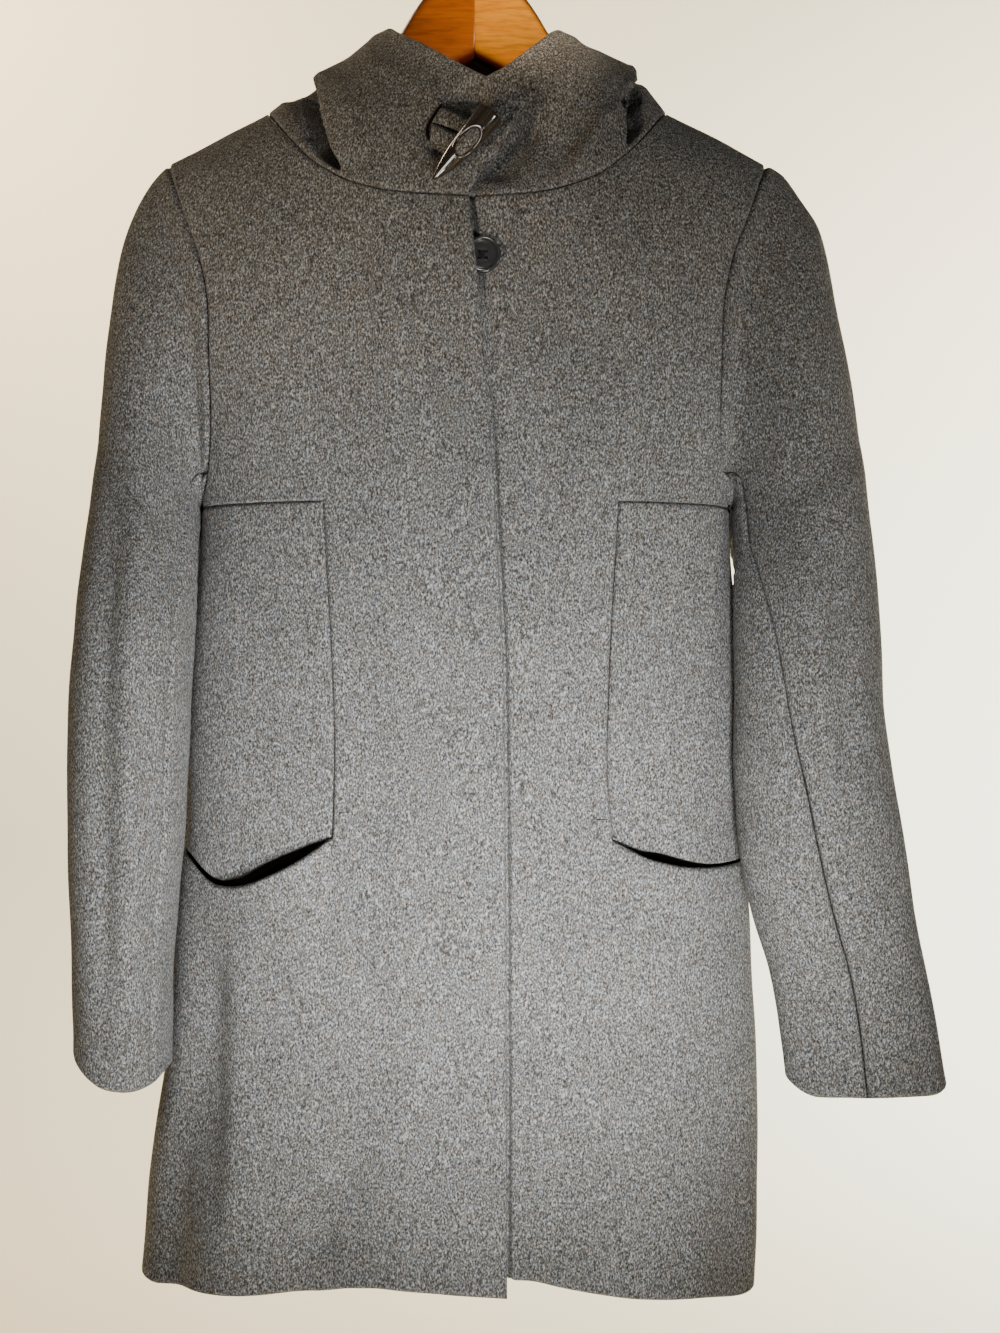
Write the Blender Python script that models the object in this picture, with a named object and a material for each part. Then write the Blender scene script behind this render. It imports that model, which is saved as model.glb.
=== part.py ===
"""Hooded wool coat on a wooden hanger, built from its cut pieces. Metres, +Z up, front towards -Y."""
from math import asin, copysign, cos, exp, pi, radians, sin, sqrt

import bmesh
import bpy
from mathutils import Vector

# Driving dimensions
CLOTH = 0.0025              # wall of the wool cloth
LINING = 0.0010             # wall of the hood lining
SEAM_GAP = 0.0003           # space between two sewn pieces
LAYER_GAP = 0.0006          # space between two layers that lie on each other
UNDERARM_Z = -0.432         # level of the underarm points and of the side panels' top seams
HEM_Z = -0.954
NECK_POINT = 0.1385         # half the neck width, where neckline and shoulder seam meet
NECK_POINT_Z = -0.1588
SHOULDER_TIP = 0.207        # half the shoulder width
SHOULDER_TIP_Z = -0.193
SHOULDER_ROUND = 0.140      # height over which the shoulder rounds down into chest and back
UNDERLAP = 0.060            # how far the left front reaches below the right one
LAP_START = 0.003           # past the under front's edge, where the over front starts to come down
LAP_FADE = 0.032            # and where it lies on the body again
POCKET_DEPTH = 0.034        # how far a side panel goes down behind its pocket mouth
UNDER_SHORT = 0.006         # the left front's hem is this much higher
UNDER_SETBACK = 0.016       # and it hangs this much further back at the centre
SETBACK_X = (0.020, 0.110)  # from full setback to none, across
SETBACK_Z = (-0.800, -0.950)        # from none to full setback, down
RIDGE_BAND = 0.0008         # this close to the shoulder line the cloth faces straight up

# Rows and columns of the cloth grids
CHEST_ROWS = 13
ROW_CROWDING = 0.55         # how much closer rows lie at the shoulder and the underarm
NECK_CROWDING = 1.25        # and columns towards the neck point
PANEL_ROWS = 6
SKIRT_ROWS = 8
STRIP_COLUMNS = 6           # centre front to the side panel's seam
NECK_COLUMNS = 9            # centre front to the neck point
SHOULDER_COLUMNS = 4
BACK_NECK_COLUMNS = 12
POCKET_ROWS = 2
FRONT_COLUMNS = NECK_COLUMNS + SHOULDER_COLUMNS
BACK_COLUMNS = BACK_NECK_COLUMNS + 2 * SHOULDER_COLUMNS

# Body sections, one row for each level
BODY_NAMES = ("z", "centre", "half_width", "front_depth", "back_depth", "roundness")
BODY = (
    (-0.150, -0.0050, 0.2750, 0.075, 0.056, 2.4),
    (-0.193, -0.0050, 0.2600, 0.075, 0.056, 2.4),
    (-0.250, -0.0052, 0.2320, 0.075, 0.057, 2.4),
    (-0.300, -0.0054, 0.2150, 0.076, 0.058, 2.4),
    (-0.370, -0.0056, 0.1960, 0.076, 0.060, 2.4),
    (-0.432, -0.0058, 0.1825, 0.075, 0.060, 2.4),
    (-0.507, -0.0065, 0.1875, 0.074, 0.060, 2.4),
    (-0.613, -0.0070, 0.1930, 0.074, 0.060, 2.4),
    (-0.706, -0.0080, 0.1980, 0.076, 0.062, 2.4),
    (-0.810, -0.0093, 0.2037, 0.078, 0.063, 2.5),
    (-0.870, -0.0134, 0.2090, 0.079, 0.064, 2.6),
    (-0.960, -0.0177, 0.2115, 0.080, 0.065, 2.6),
)
# Seam lines on the body: distance from the body's centre against level
ARMHOLE_NAMES = ("z", "x")
ARMHOLE = ((-0.193, 0.2070), (-0.234, 0.1916), (-0.268, 0.1800), (-0.306, 0.1740),
           (-0.370, 0.1740), (-0.415, 0.1775), (-0.432, 0.1825))
FRONT_NECK_NAMES = ("x", "z")
FRONT_NECK = ((0.000, -0.2334), (0.050, -0.2295), (0.075, -0.2225), (0.0935, -0.2120),
              (0.109, -0.1985), (0.1235, -0.1810), (NECK_POINT, NECK_POINT_Z))
BACK_NECK = ((0.000, -0.1660), (0.050, -0.1660), (0.100, -0.1645), (NECK_POINT, NECK_POINT_Z))
FRONT_EDGE_NAMES = ("z", "x")
FRONT_EDGE = ((-0.230, -0.0030), (-0.2686, 0.0009), (-0.338, 0.0078), (-0.4585, 0.0156),
              (-0.563, 0.0202), (-0.628, 0.0209), (-0.960, 0.0222))
PANEL_SEAM_NAMES = ("z", "right", "left")
PANEL_SEAM = ((-0.432, 0.0932, 0.1020), (-0.600, 0.0845, 0.0952), (-0.656, 0.0852, 0.0995),
              (-0.960, 0.0950, 0.1080))
# Pocket mouths, as a share of the way from the panel seam to the side seam
MOUTH_NAMES = ("share", "right", "left")
MOUTH = ((0.00, -0.6550, -0.6560), (0.15, -0.6640, -0.6665), (0.40, -0.6790, -0.6730),
         (0.68, -0.6870, -0.6755), (0.85, -0.6840, -0.6752), (1.00, -0.6735, -0.6735))
MOUTH_GAPE = {-1: 0.013, 1: 0.008}  # how far the right and the left mouth stand open
GAPE_PEAK = 9.48            # brings share * (1 - share) ** 3 to 1 at its highest
GAPE_ROWS = 3.2             # rows below the mouth over which the gape closes

# Large folds of the body: angle and spread in degrees, rise (outward is plus), top level, full by level
FOLDS = (
    (-19.0, 9.0, -0.0150, -0.820, -0.950),
    (-40.0, 10.0, 0.0060, -0.780, -0.940),
    (-58.0, 8.0, -0.0070, -0.740, -0.900),
    (28.0, 12.0, 0.0060, -0.760, -0.940),
    (62.0, 10.0, -0.0060, -0.780, -0.930),
    (128.0, 11.0, -0.0090, -0.700, -0.930),
    (158.0, 12.0, 0.0080, -0.680, -0.930),
    (190.0, 11.0, -0.0080, -0.640, -0.930),
    (222.0, 12.0, 0.0080, -0.700, -0.930),
    (245.0, 9.0, -0.0060, -0.720, -0.930),
)

# Sleeve rings: x_out, z_out, x_in, z_in, y of the middle, half depth, share of round section
SLEEVE_LEFT = (
    (0.2130, -0.1990, 0.1790, -0.4322, 0.004, 0.046, 0.12),
    (0.2274, -0.2180, 0.1780, -0.4340, 0.003, 0.048, 0.28),
    (0.2390, -0.2370, 0.1770, -0.4370, 0.002, 0.050, 0.45),
    (0.2452, -0.2600, 0.1760, -0.4410, 0.001, 0.051, 0.60),
    (0.2515, -0.2930, 0.1755, -0.4460, -0.001, 0.052, 0.74),
    (0.2590, -0.3330, 0.1750, -0.4520, -0.003, 0.053, 0.86),
    (0.2654, -0.3760, 0.1745, -0.4600, -0.007, 0.053, 0.94),
    (0.2692, -0.4180, 0.1740, -0.4720, -0.013, 0.052, 1.00),
    (0.2715, -0.4620, 0.1740, -0.4900, -0.022, 0.051, 1.00),
    (0.2738, -0.5080, 0.1745, -0.5200, -0.032, 0.050, 1.00),
    (0.2745, -0.5570, 0.1755, -0.5600, -0.039, 0.048, 1.00),
    (0.2790, -0.6020, 0.1745, -0.6020, -0.041, 0.046, 1.00),
    (0.2864, -0.6500, 0.1760, -0.6500, -0.042, 0.043, 1.00),
    (0.2946, -0.7040, 0.1860, -0.7040, -0.042, 0.037, 1.00),
    (0.3036, -0.7460, 0.1985, -0.7460, -0.041, 0.031, 1.00),
    (0.3121, -0.7870, 0.2065, -0.7870, -0.040, 0.026, 1.00),
    (0.3190, -0.8265, 0.2105, -0.8265, -0.040, 0.024, 1.00),
)
SLEEVE_RIGHT = (
    (0.2235, -0.2050, 0.1900, -0.4322, 0.004, 0.046, 0.12),
    (0.2352, -0.2260, 0.1895, -0.4340, 0.003, 0.048, 0.28),
    (0.2440, -0.2480, 0.1890, -0.4370, 0.001, 0.049, 0.45),
    (0.2485, -0.2720, 0.1885, -0.4410, -0.001, 0.050, 0.60),
    (0.2530, -0.3070, 0.1880, -0.4460, -0.004, 0.051, 0.74),
    (0.2561, -0.3400, 0.1875, -0.4520, -0.008, 0.052, 0.86),
    (0.2590, -0.3800, 0.1870, -0.4600, -0.013, 0.053, 0.94),
    (0.2604, -0.4280, 0.1865, -0.4740, -0.021, 0.053, 1.00),
    (0.2638, -0.4680, 0.1865, -0.4920, -0.030, 0.053, 1.00),
    (0.2660, -0.5080, 0.1880, -0.5200, -0.040, 0.053, 1.00),
    (0.2676, -0.5530, 0.1895, -0.5600, -0.047, 0.053, 1.00),
    (0.2692, -0.6020, 0.1910, -0.6020, -0.050, 0.052, 1.00),
    (0.2688, -0.6500, 0.1928, -0.6500, -0.051, 0.051, 1.00),
    (0.2674, -0.7040, 0.1985, -0.7040, -0.051, 0.051, 1.00),
    (0.2660, -0.7460, 0.2010, -0.7460, -0.051, 0.050, 1.00),
    (0.2652, -0.7820, 0.2015, -0.7820, -0.051, 0.050, 1.00),
    (0.2645, -0.8120, 0.2018, -0.8120, -0.051, 0.050, 1.00),
)
SLEEVE_CLEAR = 0.0045       # space between a sleeve and the body beside it
CLEAR_FADE = 0.008          # depth below the underarm at which that space is reached
FRONT_SEAM_ROW = 10         # armhole row where the sleeve's front seam starts
BACK_SEAM_ROW = 8           # and the back seam
SEAM_TURN_NAMES = ("z", "front", "back")
SEAM_TURN = {
    1: ((-0.432, 0.400, 0.700), (-0.530, 0.345, 0.700), (-0.700, 0.300, 0.710), (-0.830, 0.250, 0.720)),
    -1: ((-0.432, 0.400, 0.700), (-0.530, 0.400, 0.700), (-0.700, 0.400, 0.710), (-0.830, 0.400, 0.720)),
}

# Hood halves: for stations from the front edge to the back seam, the crest, the fold and the free edge
HOOD_NAMES = ("station", "crest_x", "crest_y", "crest_z", "fold_x", "fold_y", "fold_z",
              "edge_x", "edge_y", "edge_z", "pouch")
HOOD = (
    (0.00, -0.0150, -0.0745, -0.2000, -0.0260, -0.0735, -0.1820, -0.0380, -0.0700, -0.1640, 0.0),
    (0.14, 0.0130, -0.0735, -0.1940, 0.0030, -0.0710, -0.1730, -0.0085, -0.0660, -0.1515, 0.0),
    (0.28, 0.0480, -0.0690, -0.1830, 0.0400, -0.0640, -0.1540, 0.0290, -0.0530, -0.1275, 0.0),
    (0.40, 0.0780, -0.0600, -0.1700, 0.0660, -0.0490, -0.1370, 0.0520, -0.0300, -0.1090, 0.0),
    (0.50, 0.0960, -0.0370, -0.1480, 0.0790, -0.0170, -0.1180, 0.0580, -0.0040, -0.0990, 0.0),
    (0.57, 0.1110, -0.0130, -0.1380, 0.0870, 0.0090, -0.1200, 0.0570, 0.0230, -0.0990, 0.0),
    (0.64, 0.1220, 0.0070, -0.1410, 0.1030, 0.0360, -0.1230, 0.0540, 0.0490, -0.0960, 0.0),
    (0.70, 0.1170, 0.0300, -0.1400, 0.1000, 0.0500, -0.1200, 0.0500, 0.0680, -0.0970, 0.0),
    (0.76, 0.1060, 0.0430, -0.1360, 0.1160, 0.0790, -0.2250, 0.1060, 0.0740, -0.1400, 0.8),
    (0.82, 0.0900, 0.0490, -0.1270, 0.1080, 0.0880, -0.2830, 0.0880, 0.0880, -0.1470, 1.0),
    (0.88, 0.0640, 0.0530, -0.1130, 0.0820, 0.0930, -0.3150, 0.0600, 0.0980, -0.1530, 1.0),
    (0.94, 0.0330, 0.0540, -0.1010, 0.0440, 0.0950, -0.3310, 0.0310, 0.1030, -0.1570, 1.0),
    (1.00, 0.0000, 0.0540, -0.0980, 0.0000, 0.0960, -0.3360, 0.0000, 0.1050, -0.1580, 1.0),
)
NECK_STATION = 0.64         # station of the neck point
CENTRE_STATIONS = (0.50, 0.72)      # between these the hood comes over the body's centre
FLAP_STATIONS = (0.22, 0.42)        # between these the under flap comes level with the over flap
HOOD_STEPS = (4, 2, 2, 2, 2, 2, 2, 2, 2)     # rows between a section's key points
CREST_ROUND = 0.0070        # radius of the hood's crest at the back
FOLD_ROUND = 0.0095         # radius of the pouch's bottom fold
UNDER_FLAP_BACK = 0.0085    # the under flap lies this far behind the over flap
UNDER_FLAP_DROP = 0.0050    # and its free edge is this much lower at the front
BACK_CLEAR = 0.0100         # space between the hanging hood and the back
POUCH_BELLY = 0.018         # how far the hanging hood bellies out
CREST_ROW = HOOD_STEPS[0] + HOOD_STEPS[1]
FLAP_LAST = NECK_COLUMNS + 1        # last hood column whose cloth goes on to the free edge
POUCH_FIRST = NECK_COLUMNS + 2      # first hood column of the hanging pouch
LINING_ROWS = (1, CREST_ROW - 1)
TUCK_ROWS = 3               # rows by which the standing back ends lower where it tucks below the flap

# Fastenings
TOGGLE_TOP = (0.0118, -0.1824)
TOGGLE_TIP = (-0.0257, -0.2264)
# Share of the length, radius
TOGGLE = ((0.00, 0.0070), (0.02, 0.0085), (0.10, 0.0090), (0.35, 0.0086), (0.60, 0.0073),
          (0.82, 0.0052), (0.94, 0.0035), (1.00, 0.0012))
TOGGLE_SIDES = 14
TOGGLE_STAND = (0.0094, 0.0080)     # its middle line off the flap, at the top and at the tip
FLAP_SPOT = (-0.0235, -0.0711, -0.1825)     # a point of the over flap where the toggle lies
FLAP_SLOPE = (-0.055, 0.145)        # change of its y along x and along z
LOOP_SLIT = (-0.0235, -0.1825)
LOOP_END = (-0.00927, -0.19338)
LOOP_WIDTH = 0.014
LOOP_WALL = 0.0020
LOOP_STAND = 0.0112         # the loop's front off the flap where it meets the toggle
LOOP_ROWS = 5
BUTTON_PLACE = (0.0062, -0.2729)
BUTTON_RADIUS = 0.0120
BUTTON_HEIGHT = 0.0036
BUTTON_SIDES = 20
BUTTON_PROFILE = ((0.93, 0.0), (1.00, 0.2), (1.00, 0.75), (0.93, 1.0), (0.78, 0.95), (0.68, 0.70))
BUTTON_RAISE = 0.0048       # how far the button lifts the over front
BUTTON_SPREAD = 0.030

# Hanger sections: x, top, bottom, half thickness
HANGER = (
    (0.0000, -0.0600, -0.1187, 0.0095),
    (0.0120, -0.0615, -0.1251, 0.0095),
    (0.0240, -0.0668, -0.1315, 0.0095),
    (0.0350, -0.0765, -0.1373, 0.0094),
    (0.0435, -0.0885, -0.1418, 0.0092),
    (0.0520, -0.1025, -0.1463, 0.0090),
    (0.0650, -0.1155, -0.1533, 0.0084),
    (0.0900, -0.1365, -0.1666, 0.0076),
    (0.1200, -0.1590, -0.1825, 0.0072),
    (0.1400, -0.1715, -0.1930, 0.0070),
)
HANGER_END = 0.190          # half the hanger's width
HANGER_END_DEPTH = 0.024
HANGER_END_HALF = 0.0076    # half thickness of the arm near its end
HANGER_REST = 0.0008        # space between the arm's end and the shoulder's cloth
HANGER_END_SHARES = (0.35, 0.65, 0.85, 0.95, 1.0)
HANGER_END_ROUND = 0.65     # share of the arm's end where its rounding starts
HANGER_SIDES = 12
HOOK_WIRE = 0.0019          # radius of the wire
HOOK_RADIUS = 0.0190        # middle line of the hook's bow
HOOK_SIDES = 10
HOOK_STEPS = 14
HOOK_FIRST = -38.0          # angle where the stem meets the bow, in degrees
HOOK_LAST = 195.0
# Stem of the hook: x, rise above the hanger's top
HOOK_STEM = ((0.0, SEAM_GAP), (0.0, 0.0090), (0.0034, 0.0170), (0.0099, 0.0240))
HOOK_STEM_STEPS = (1, 2, 2, 2)


def smooth(keys, values):
    """Return a smooth curve through pairs of key and value that never swings past them."""
    rows = sorted(zip(keys, values))
    steps = [(b[0] - a[0], (b[1] - a[1]) / (b[0] - a[0])) for a, b in zip(rows, rows[1:])]
    slopes = [steps[0][1]]
    for (h0, d0), (h1, d1) in zip(steps, steps[1:]):
        slopes.append(0.0 if d0 * d1 <= 0 else (h0 + h1) / (h0 / d1 + h1 / d0))
    slopes.append(steps[-1][1])

    def at(key):
        key = min(max(key, rows[0][0]), rows[-1][0])
        i = 0
        while i < len(steps) - 1 and key > rows[i + 1][0]:
            i += 1
        h = steps[i][0]
        t = (key - rows[i][0]) / h
        return (rows[i][1] * (1 + 2 * t) * (1 - t) ** 2 + rows[i + 1][1] * t * t * (3 - 2 * t)
                + h * t * (1 - t) * (slopes[i] * (1 - t) - slopes[i + 1] * t))
    return at


def curves(names, table):
    """Return one smooth curve for each named column, against the first column."""
    keys = [row[0] for row in table]
    return {name: smooth(keys, [row[i] for row in table]) for i, name in enumerate(names)}


def ease(value, start, end):
    """Go smoothly from 0 at start to 1 at end."""
    t = min(max((value - start) / (end - start), 0.0), 1.0)
    return t * t * (3 - 2 * t)


body = curves(BODY_NAMES, BODY)
armhole = curves(ARMHOLE_NAMES, ARMHOLE)
front_neck = curves(FRONT_NECK_NAMES, FRONT_NECK)
back_neck = curves(FRONT_NECK_NAMES, BACK_NECK)
front_edge = curves(FRONT_EDGE_NAMES, FRONT_EDGE)
panel_seam = curves(PANEL_SEAM_NAMES, PANEL_SEAM)
mouth = curves(MOUTH_NAMES, MOUTH)
SIDE_NAME = {-1: "right", 1: "left"}
RIDGE_SLOPE = (NECK_POINT_Z - SHOULDER_TIP_Z) / (SHOULDER_TIP - NECK_POINT)


def ridge_z(x, z):
    """Return the height of the shoulder line above a place on the body."""
    return NECK_POINT_Z - RIDGE_SLOPE * (abs(x - body["centre"](z)) - NECK_POINT)


def body_point(angle, z):
    """Return the body's bare form: angle 0 is the centre front, 90 degrees the left side."""
    power = 2.0 / body["roundness"](z)
    across, along = sin(angle), cos(angle)
    x = body["centre"](z) + body["half_width"](z) * copysign(abs(across) ** power, across)
    depth = body["front_depth"](z) if along > 0 else body["back_depth"](z)
    drop = min(max((ridge_z(x, z) - z) / SHOULDER_ROUND, 0.0), 1.0)
    y = -copysign(abs(along) ** power, along) * depth * sqrt(1 - (1 - drop) ** 2)
    return Vector((x, y, z))


def angle_at(x, z, behind=False):
    """Return the angle of a place given by its x and its level."""
    across = x - body["centre"](z)
    share = min(abs(across) / body["half_width"](z), 1.0) ** (body["roundness"](z) / 2.0)
    angle = copysign(asin(share), across)
    return pi - angle if behind else angle


def body_normal(angle, z):
    """Return the outward direction of the body's bare form."""
    point = body_point(angle, z)
    if ridge_z(point.x, z) - z < RIDGE_BAND:
        side = copysign(1.0, point.x - body["centre"](z))
        return Vector((side * RIDGE_SLOPE, 0.0, 1.0)).normalized()
    turn, step = 0.002, 0.0003
    around = body_point(angle + turn, z) - body_point(angle - turn, z)
    down = body_point(angle, z - step) - body_point(angle, z + step)
    return down.cross(around).normalized()


def fold_rise(angle, z):
    """Return how far the large folds stand out at a place."""
    degrees = angle * 180.0 / pi
    total = 0.0
    for middle, spread, rise, top, full in FOLDS:
        away = (degrees - middle + 180.0) % 360.0 - 180.0
        total += rise * exp(-(away / spread) ** 2) * ease(z, top, full)
    return total


def skin(angle, z, lift=0.0):
    """Return a point of the cloth's outer face and its outward direction."""
    normal = body_normal(angle, z)
    return body_point(angle, z) + normal * (fold_rise(angle, z) + lift), normal


def over_lift(x, z):
    """Return how far the right front stands out to lap over the left one and the button."""
    inside = front_edge["x"](z) - x
    lift = (CLOTH + LAYER_GAP) * (1.0 - ease(inside, UNDERLAP + LAP_START, UNDERLAP + LAP_FADE))
    away = Vector((x - BUTTON_PLACE[0], z - BUTTON_PLACE[1])).length
    return lift + BUTTON_RAISE * exp(-(away / BUTTON_SPREAD) ** 2)


def under_lift(x, z):
    """Return how far the left front hangs back below the right one near the hem."""
    toward_side = ease(x, *SETBACK_X)
    return -UNDER_SETBACK * (1.0 - toward_side) * ease(z, *SETBACK_Z)


def front_lift(side, angle, z):
    """Return the lift of one front at a place."""
    x = body_point(angle, z).x
    return over_lift(x, z) if side < 0 else under_lift(x, z)


def front_edge_x(side, z):
    """Return x of a front's free edge."""
    return front_edge["x"](z) - (UNDERLAP if side > 0 else 0.0)


def hem_z(side):
    """Return the level of a front's hem."""
    return HEM_Z + (UNDER_SHORT if side > 0 else 0.0)


def armhole_rows(side):
    """Return levels and both angles down an armhole, evenly spaced along its front."""
    fine = 160
    rows = []
    for i in range(fine + 1):
        z = SHOULDER_TIP_Z + (UNDERARM_Z - SHOULDER_TIP_Z) * i / fine
        x = body["centre"](z) + side * armhole["x"](z)
        rows.append((z, angle_at(x, z), angle_at(x, z, True), body_point(angle_at(x, z), z)))
    way = [0.0]
    for a, b in zip(rows, rows[1:]):
        way.append(way[-1] + (b[3] - a[3]).length)
    levels = [0]
    for step in range(1, CHEST_ROWS):
        share = step / CHEST_ROWS
        target = way[-1] * (share - ROW_CROWDING * sin(2 * pi * share) / (2 * pi))
        levels.append(min(range(fine + 1), key=lambda k: abs(way[k] - target)))
    levels.append(fine)
    return [rows[k][:3] for k in levels]


def place(across, z, side, behind=False):
    """Return angle and level of a place given by its distance from the centre."""
    return angle_at(body["centre"](z) + side * across, z, behind), z


def front_top(side):
    """Return angles and levels along a front's neckline and shoulder seam."""
    z_first = FRONT_NECK[0][1]
    start = side * (front_edge_x(side, z_first) - body["centre"](z_first))
    rows = []
    for i in range(NECK_COLUMNS):
        share = 1.0 - (1.0 - i / NECK_COLUMNS) ** NECK_CROWDING
        across = start + (NECK_POINT - start) * share
        z = front_neck["z"](abs(across))
        rows.append(place(across, z, side))
    for i in range(SHOULDER_COLUMNS + 1):
        across = NECK_POINT + (SHOULDER_TIP - NECK_POINT) * i / SHOULDER_COLUMNS
        rows.append(place(across, NECK_POINT_Z - RIDGE_SLOPE * (across - NECK_POINT), side))
    return rows


def back_top():
    """Return angles and levels along the back's shoulder seams and neckline, from left to right."""
    shoulder = [SHOULDER_TIP + (NECK_POINT - SHOULDER_TIP) * i / SHOULDER_COLUMNS
                for i in range(SHOULDER_COLUMNS)]
    rows = [place(x, NECK_POINT_Z - RIDGE_SLOPE * (x - NECK_POINT), 1, True) for x in shoulder]
    for i in range(BACK_NECK_COLUMNS + 1):
        across = NECK_POINT * (1.0 - 2.0 * i / BACK_NECK_COLUMNS)
        rows.append(place(across, back_neck["z"](abs(across)), 1, True))
    rows += [place(-x, NECK_POINT_Z - RIDGE_SLOPE * (x - NECK_POINT), 1, True)
             for x in reversed(shoulder)]
    return rows


def coons(top, bottom, first, last):
    """Fill a four-sided patch of angle and level from its edges."""
    rows, columns = len(first) - 1, len(top) - 1
    grid = []
    for i in range(rows + 1):
        v = i / rows
        line = []
        for j in range(columns + 1):
            u = j / columns
            line.append(tuple(
                (1 - v) * top[j][k] + v * bottom[j][k] + (1 - u) * first[i][k] + u * last[i][k]
                - (1 - u) * (1 - v) * top[0][k] - u * (1 - v) * top[-1][k]
                - (1 - u) * v * bottom[0][k] - u * v * bottom[-1][k] for k in (0, 1)))
        grid.append(line)
    return grid


def front_line(side, level):
    """Return angles and levels across a front, for a level that may follow the pocket mouth."""
    line = []
    z_first = level(0.0)
    start = angle_at(front_edge_x(side, z_first), z_first)
    seam = place(panel_seam[SIDE_NAME[side]](z_first), z_first, side)[0]
    for j in range(STRIP_COLUMNS):
        line.append((start + (seam - start) * j / STRIP_COLUMNS, z_first))
    for j in range(FRONT_COLUMNS - STRIP_COLUMNS + 1):
        share = j / (FRONT_COLUMNS - STRIP_COLUMNS)
        line.append((seam + (side * pi / 2 - seam) * share, level(share)))
    return line


def mouth_z(side, share):
    """Return the level of a pocket mouth."""
    return mouth[SIDE_NAME[side]](share)


def front_places(side):
    """Return the grid of angles and levels of a front, with the row where the pocket mouth lies."""
    rows = armhole_rows(side)
    top = front_top(side)
    bottom = front_line(side, lambda share: UNDERARM_Z)
    first = []
    for i in range(CHEST_ROWS + 1):
        z = top[0][1] + (UNDERARM_Z - top[0][1]) * i / CHEST_ROWS
        first.append((angle_at(front_edge_x(side, z), z), z))
    last = [(row[1], row[0]) for row in rows]
    grid = coons(top, bottom, first, last)
    for i in range(1, PANEL_ROWS + 1):
        down = i / PANEL_ROWS
        grid.append(front_line(
            side, lambda share: UNDERARM_Z + (mouth_z(side, share) - UNDERARM_Z) * down))
    for i in range(1, SKIRT_ROWS + 1):
        down = i / SKIRT_ROWS
        grid.append(front_line(
            side, lambda share: mouth_z(side, share) * (1.0 - down) + hem_level(side, share) * down))
    return grid


def hem_level(side, share):
    """Return the hem's level, which is the same for both fronts and the back at the side seams."""
    return hem_z(side) + (HEM_Z - hem_z(side)) * share


def build_front(side):
    """Build one front around its side panel."""
    places = front_places(side)
    mouth_row = CHEST_ROWS + PANEL_ROWS
    points, normals = [], []
    for i, line in enumerate(places):
        row_points, row_normals = [], []
        for j, (angle, z) in enumerate(line):
            lift = front_lift(side, angle, z)
            if i >= mouth_row and j > STRIP_COLUMNS:
                share = (j - STRIP_COLUMNS) / (FRONT_COLUMNS - STRIP_COLUMNS)
                fade = max(0.0, 1.0 - (i - mouth_row) / GAPE_ROWS) ** 2
                lift += MOUTH_GAPE[side] * GAPE_PEAK * share * (1.0 - share) ** 3 * fade
            point, normal = skin(angle, z, lift)
            row_points.append(point)
            row_normals.append(normal)
        points.append(row_points)
        normals.append(row_normals)

    def kept(i, j):
        return not (CHEST_ROWS <= i < mouth_row and j >= STRIP_COLUMNS)
    return wall("front_" + SIDE_NAME[side], points, normals, CLOTH, kept, flip=side < 0)


def build_side_panel(side):
    """Build the panel that fills a front's gap and goes down behind the pocket mouth."""
    places = [line[STRIP_COLUMNS:] for line in front_places(side)[CHEST_ROWS:CHEST_ROWS + PANEL_ROWS + 1]]
    columns = FRONT_COLUMNS - STRIP_COLUMNS
    for k in range(1, POCKET_ROWS + 1):
        down = POCKET_DEPTH * k / POCKET_ROWS
        line = front_line(side, lambda share: mouth_z(side, share) - down)[STRIP_COLUMNS:]
        places.append(line)
    points, normals = [], []
    for i, line in enumerate(places):
        dip = (CLOTH + LAYER_GAP) * ease(i / PANEL_ROWS, 0.55, 1.0)
        pairs = [skin(angle, z, front_lift(side, angle, z) - dip) for angle, z in line]
        points.append([pair[0] for pair in pairs])
        normals.append([pair[1] for pair in pairs])
    return wall("side_panel_" + SIDE_NAME[side], points, normals, CLOTH,
                lambda i, j: j < columns, flip=side < 0)


def back_places():
    """Return the grid of angles and levels of the back."""
    left, right = armhole_rows(1), armhole_rows(-1)
    bottom = [(pi / 2 + pi * j / BACK_COLUMNS, UNDERARM_Z) for j in range(BACK_COLUMNS + 1)]
    first = [(row[2], row[0]) for row in left]
    last = [(row[2], row[0]) for row in right]
    grid = coons(back_top(), bottom, first, last)
    side_mouth = mouth_z(1, 1.0)
    levels = [UNDERARM_Z + (side_mouth - UNDERARM_Z) * i / PANEL_ROWS for i in range(1, PANEL_ROWS + 1)]
    levels += [side_mouth + (HEM_Z - side_mouth) * i / SKIRT_ROWS for i in range(1, SKIRT_ROWS + 1)]
    for z in levels:
        grid.append([(pi / 2 + pi * j / BACK_COLUMNS, z) for j in range(BACK_COLUMNS + 1)])
    return grid


def build_back():
    """Build the one-piece back."""
    pairs = [[skin(angle, z) for angle, z in line] for line in back_places()]
    points = [[pair[0] for pair in line] for line in pairs]
    normals = [[pair[1] for pair in line] for line in pairs]
    return wall("back", points, normals, CLOTH)


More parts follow.
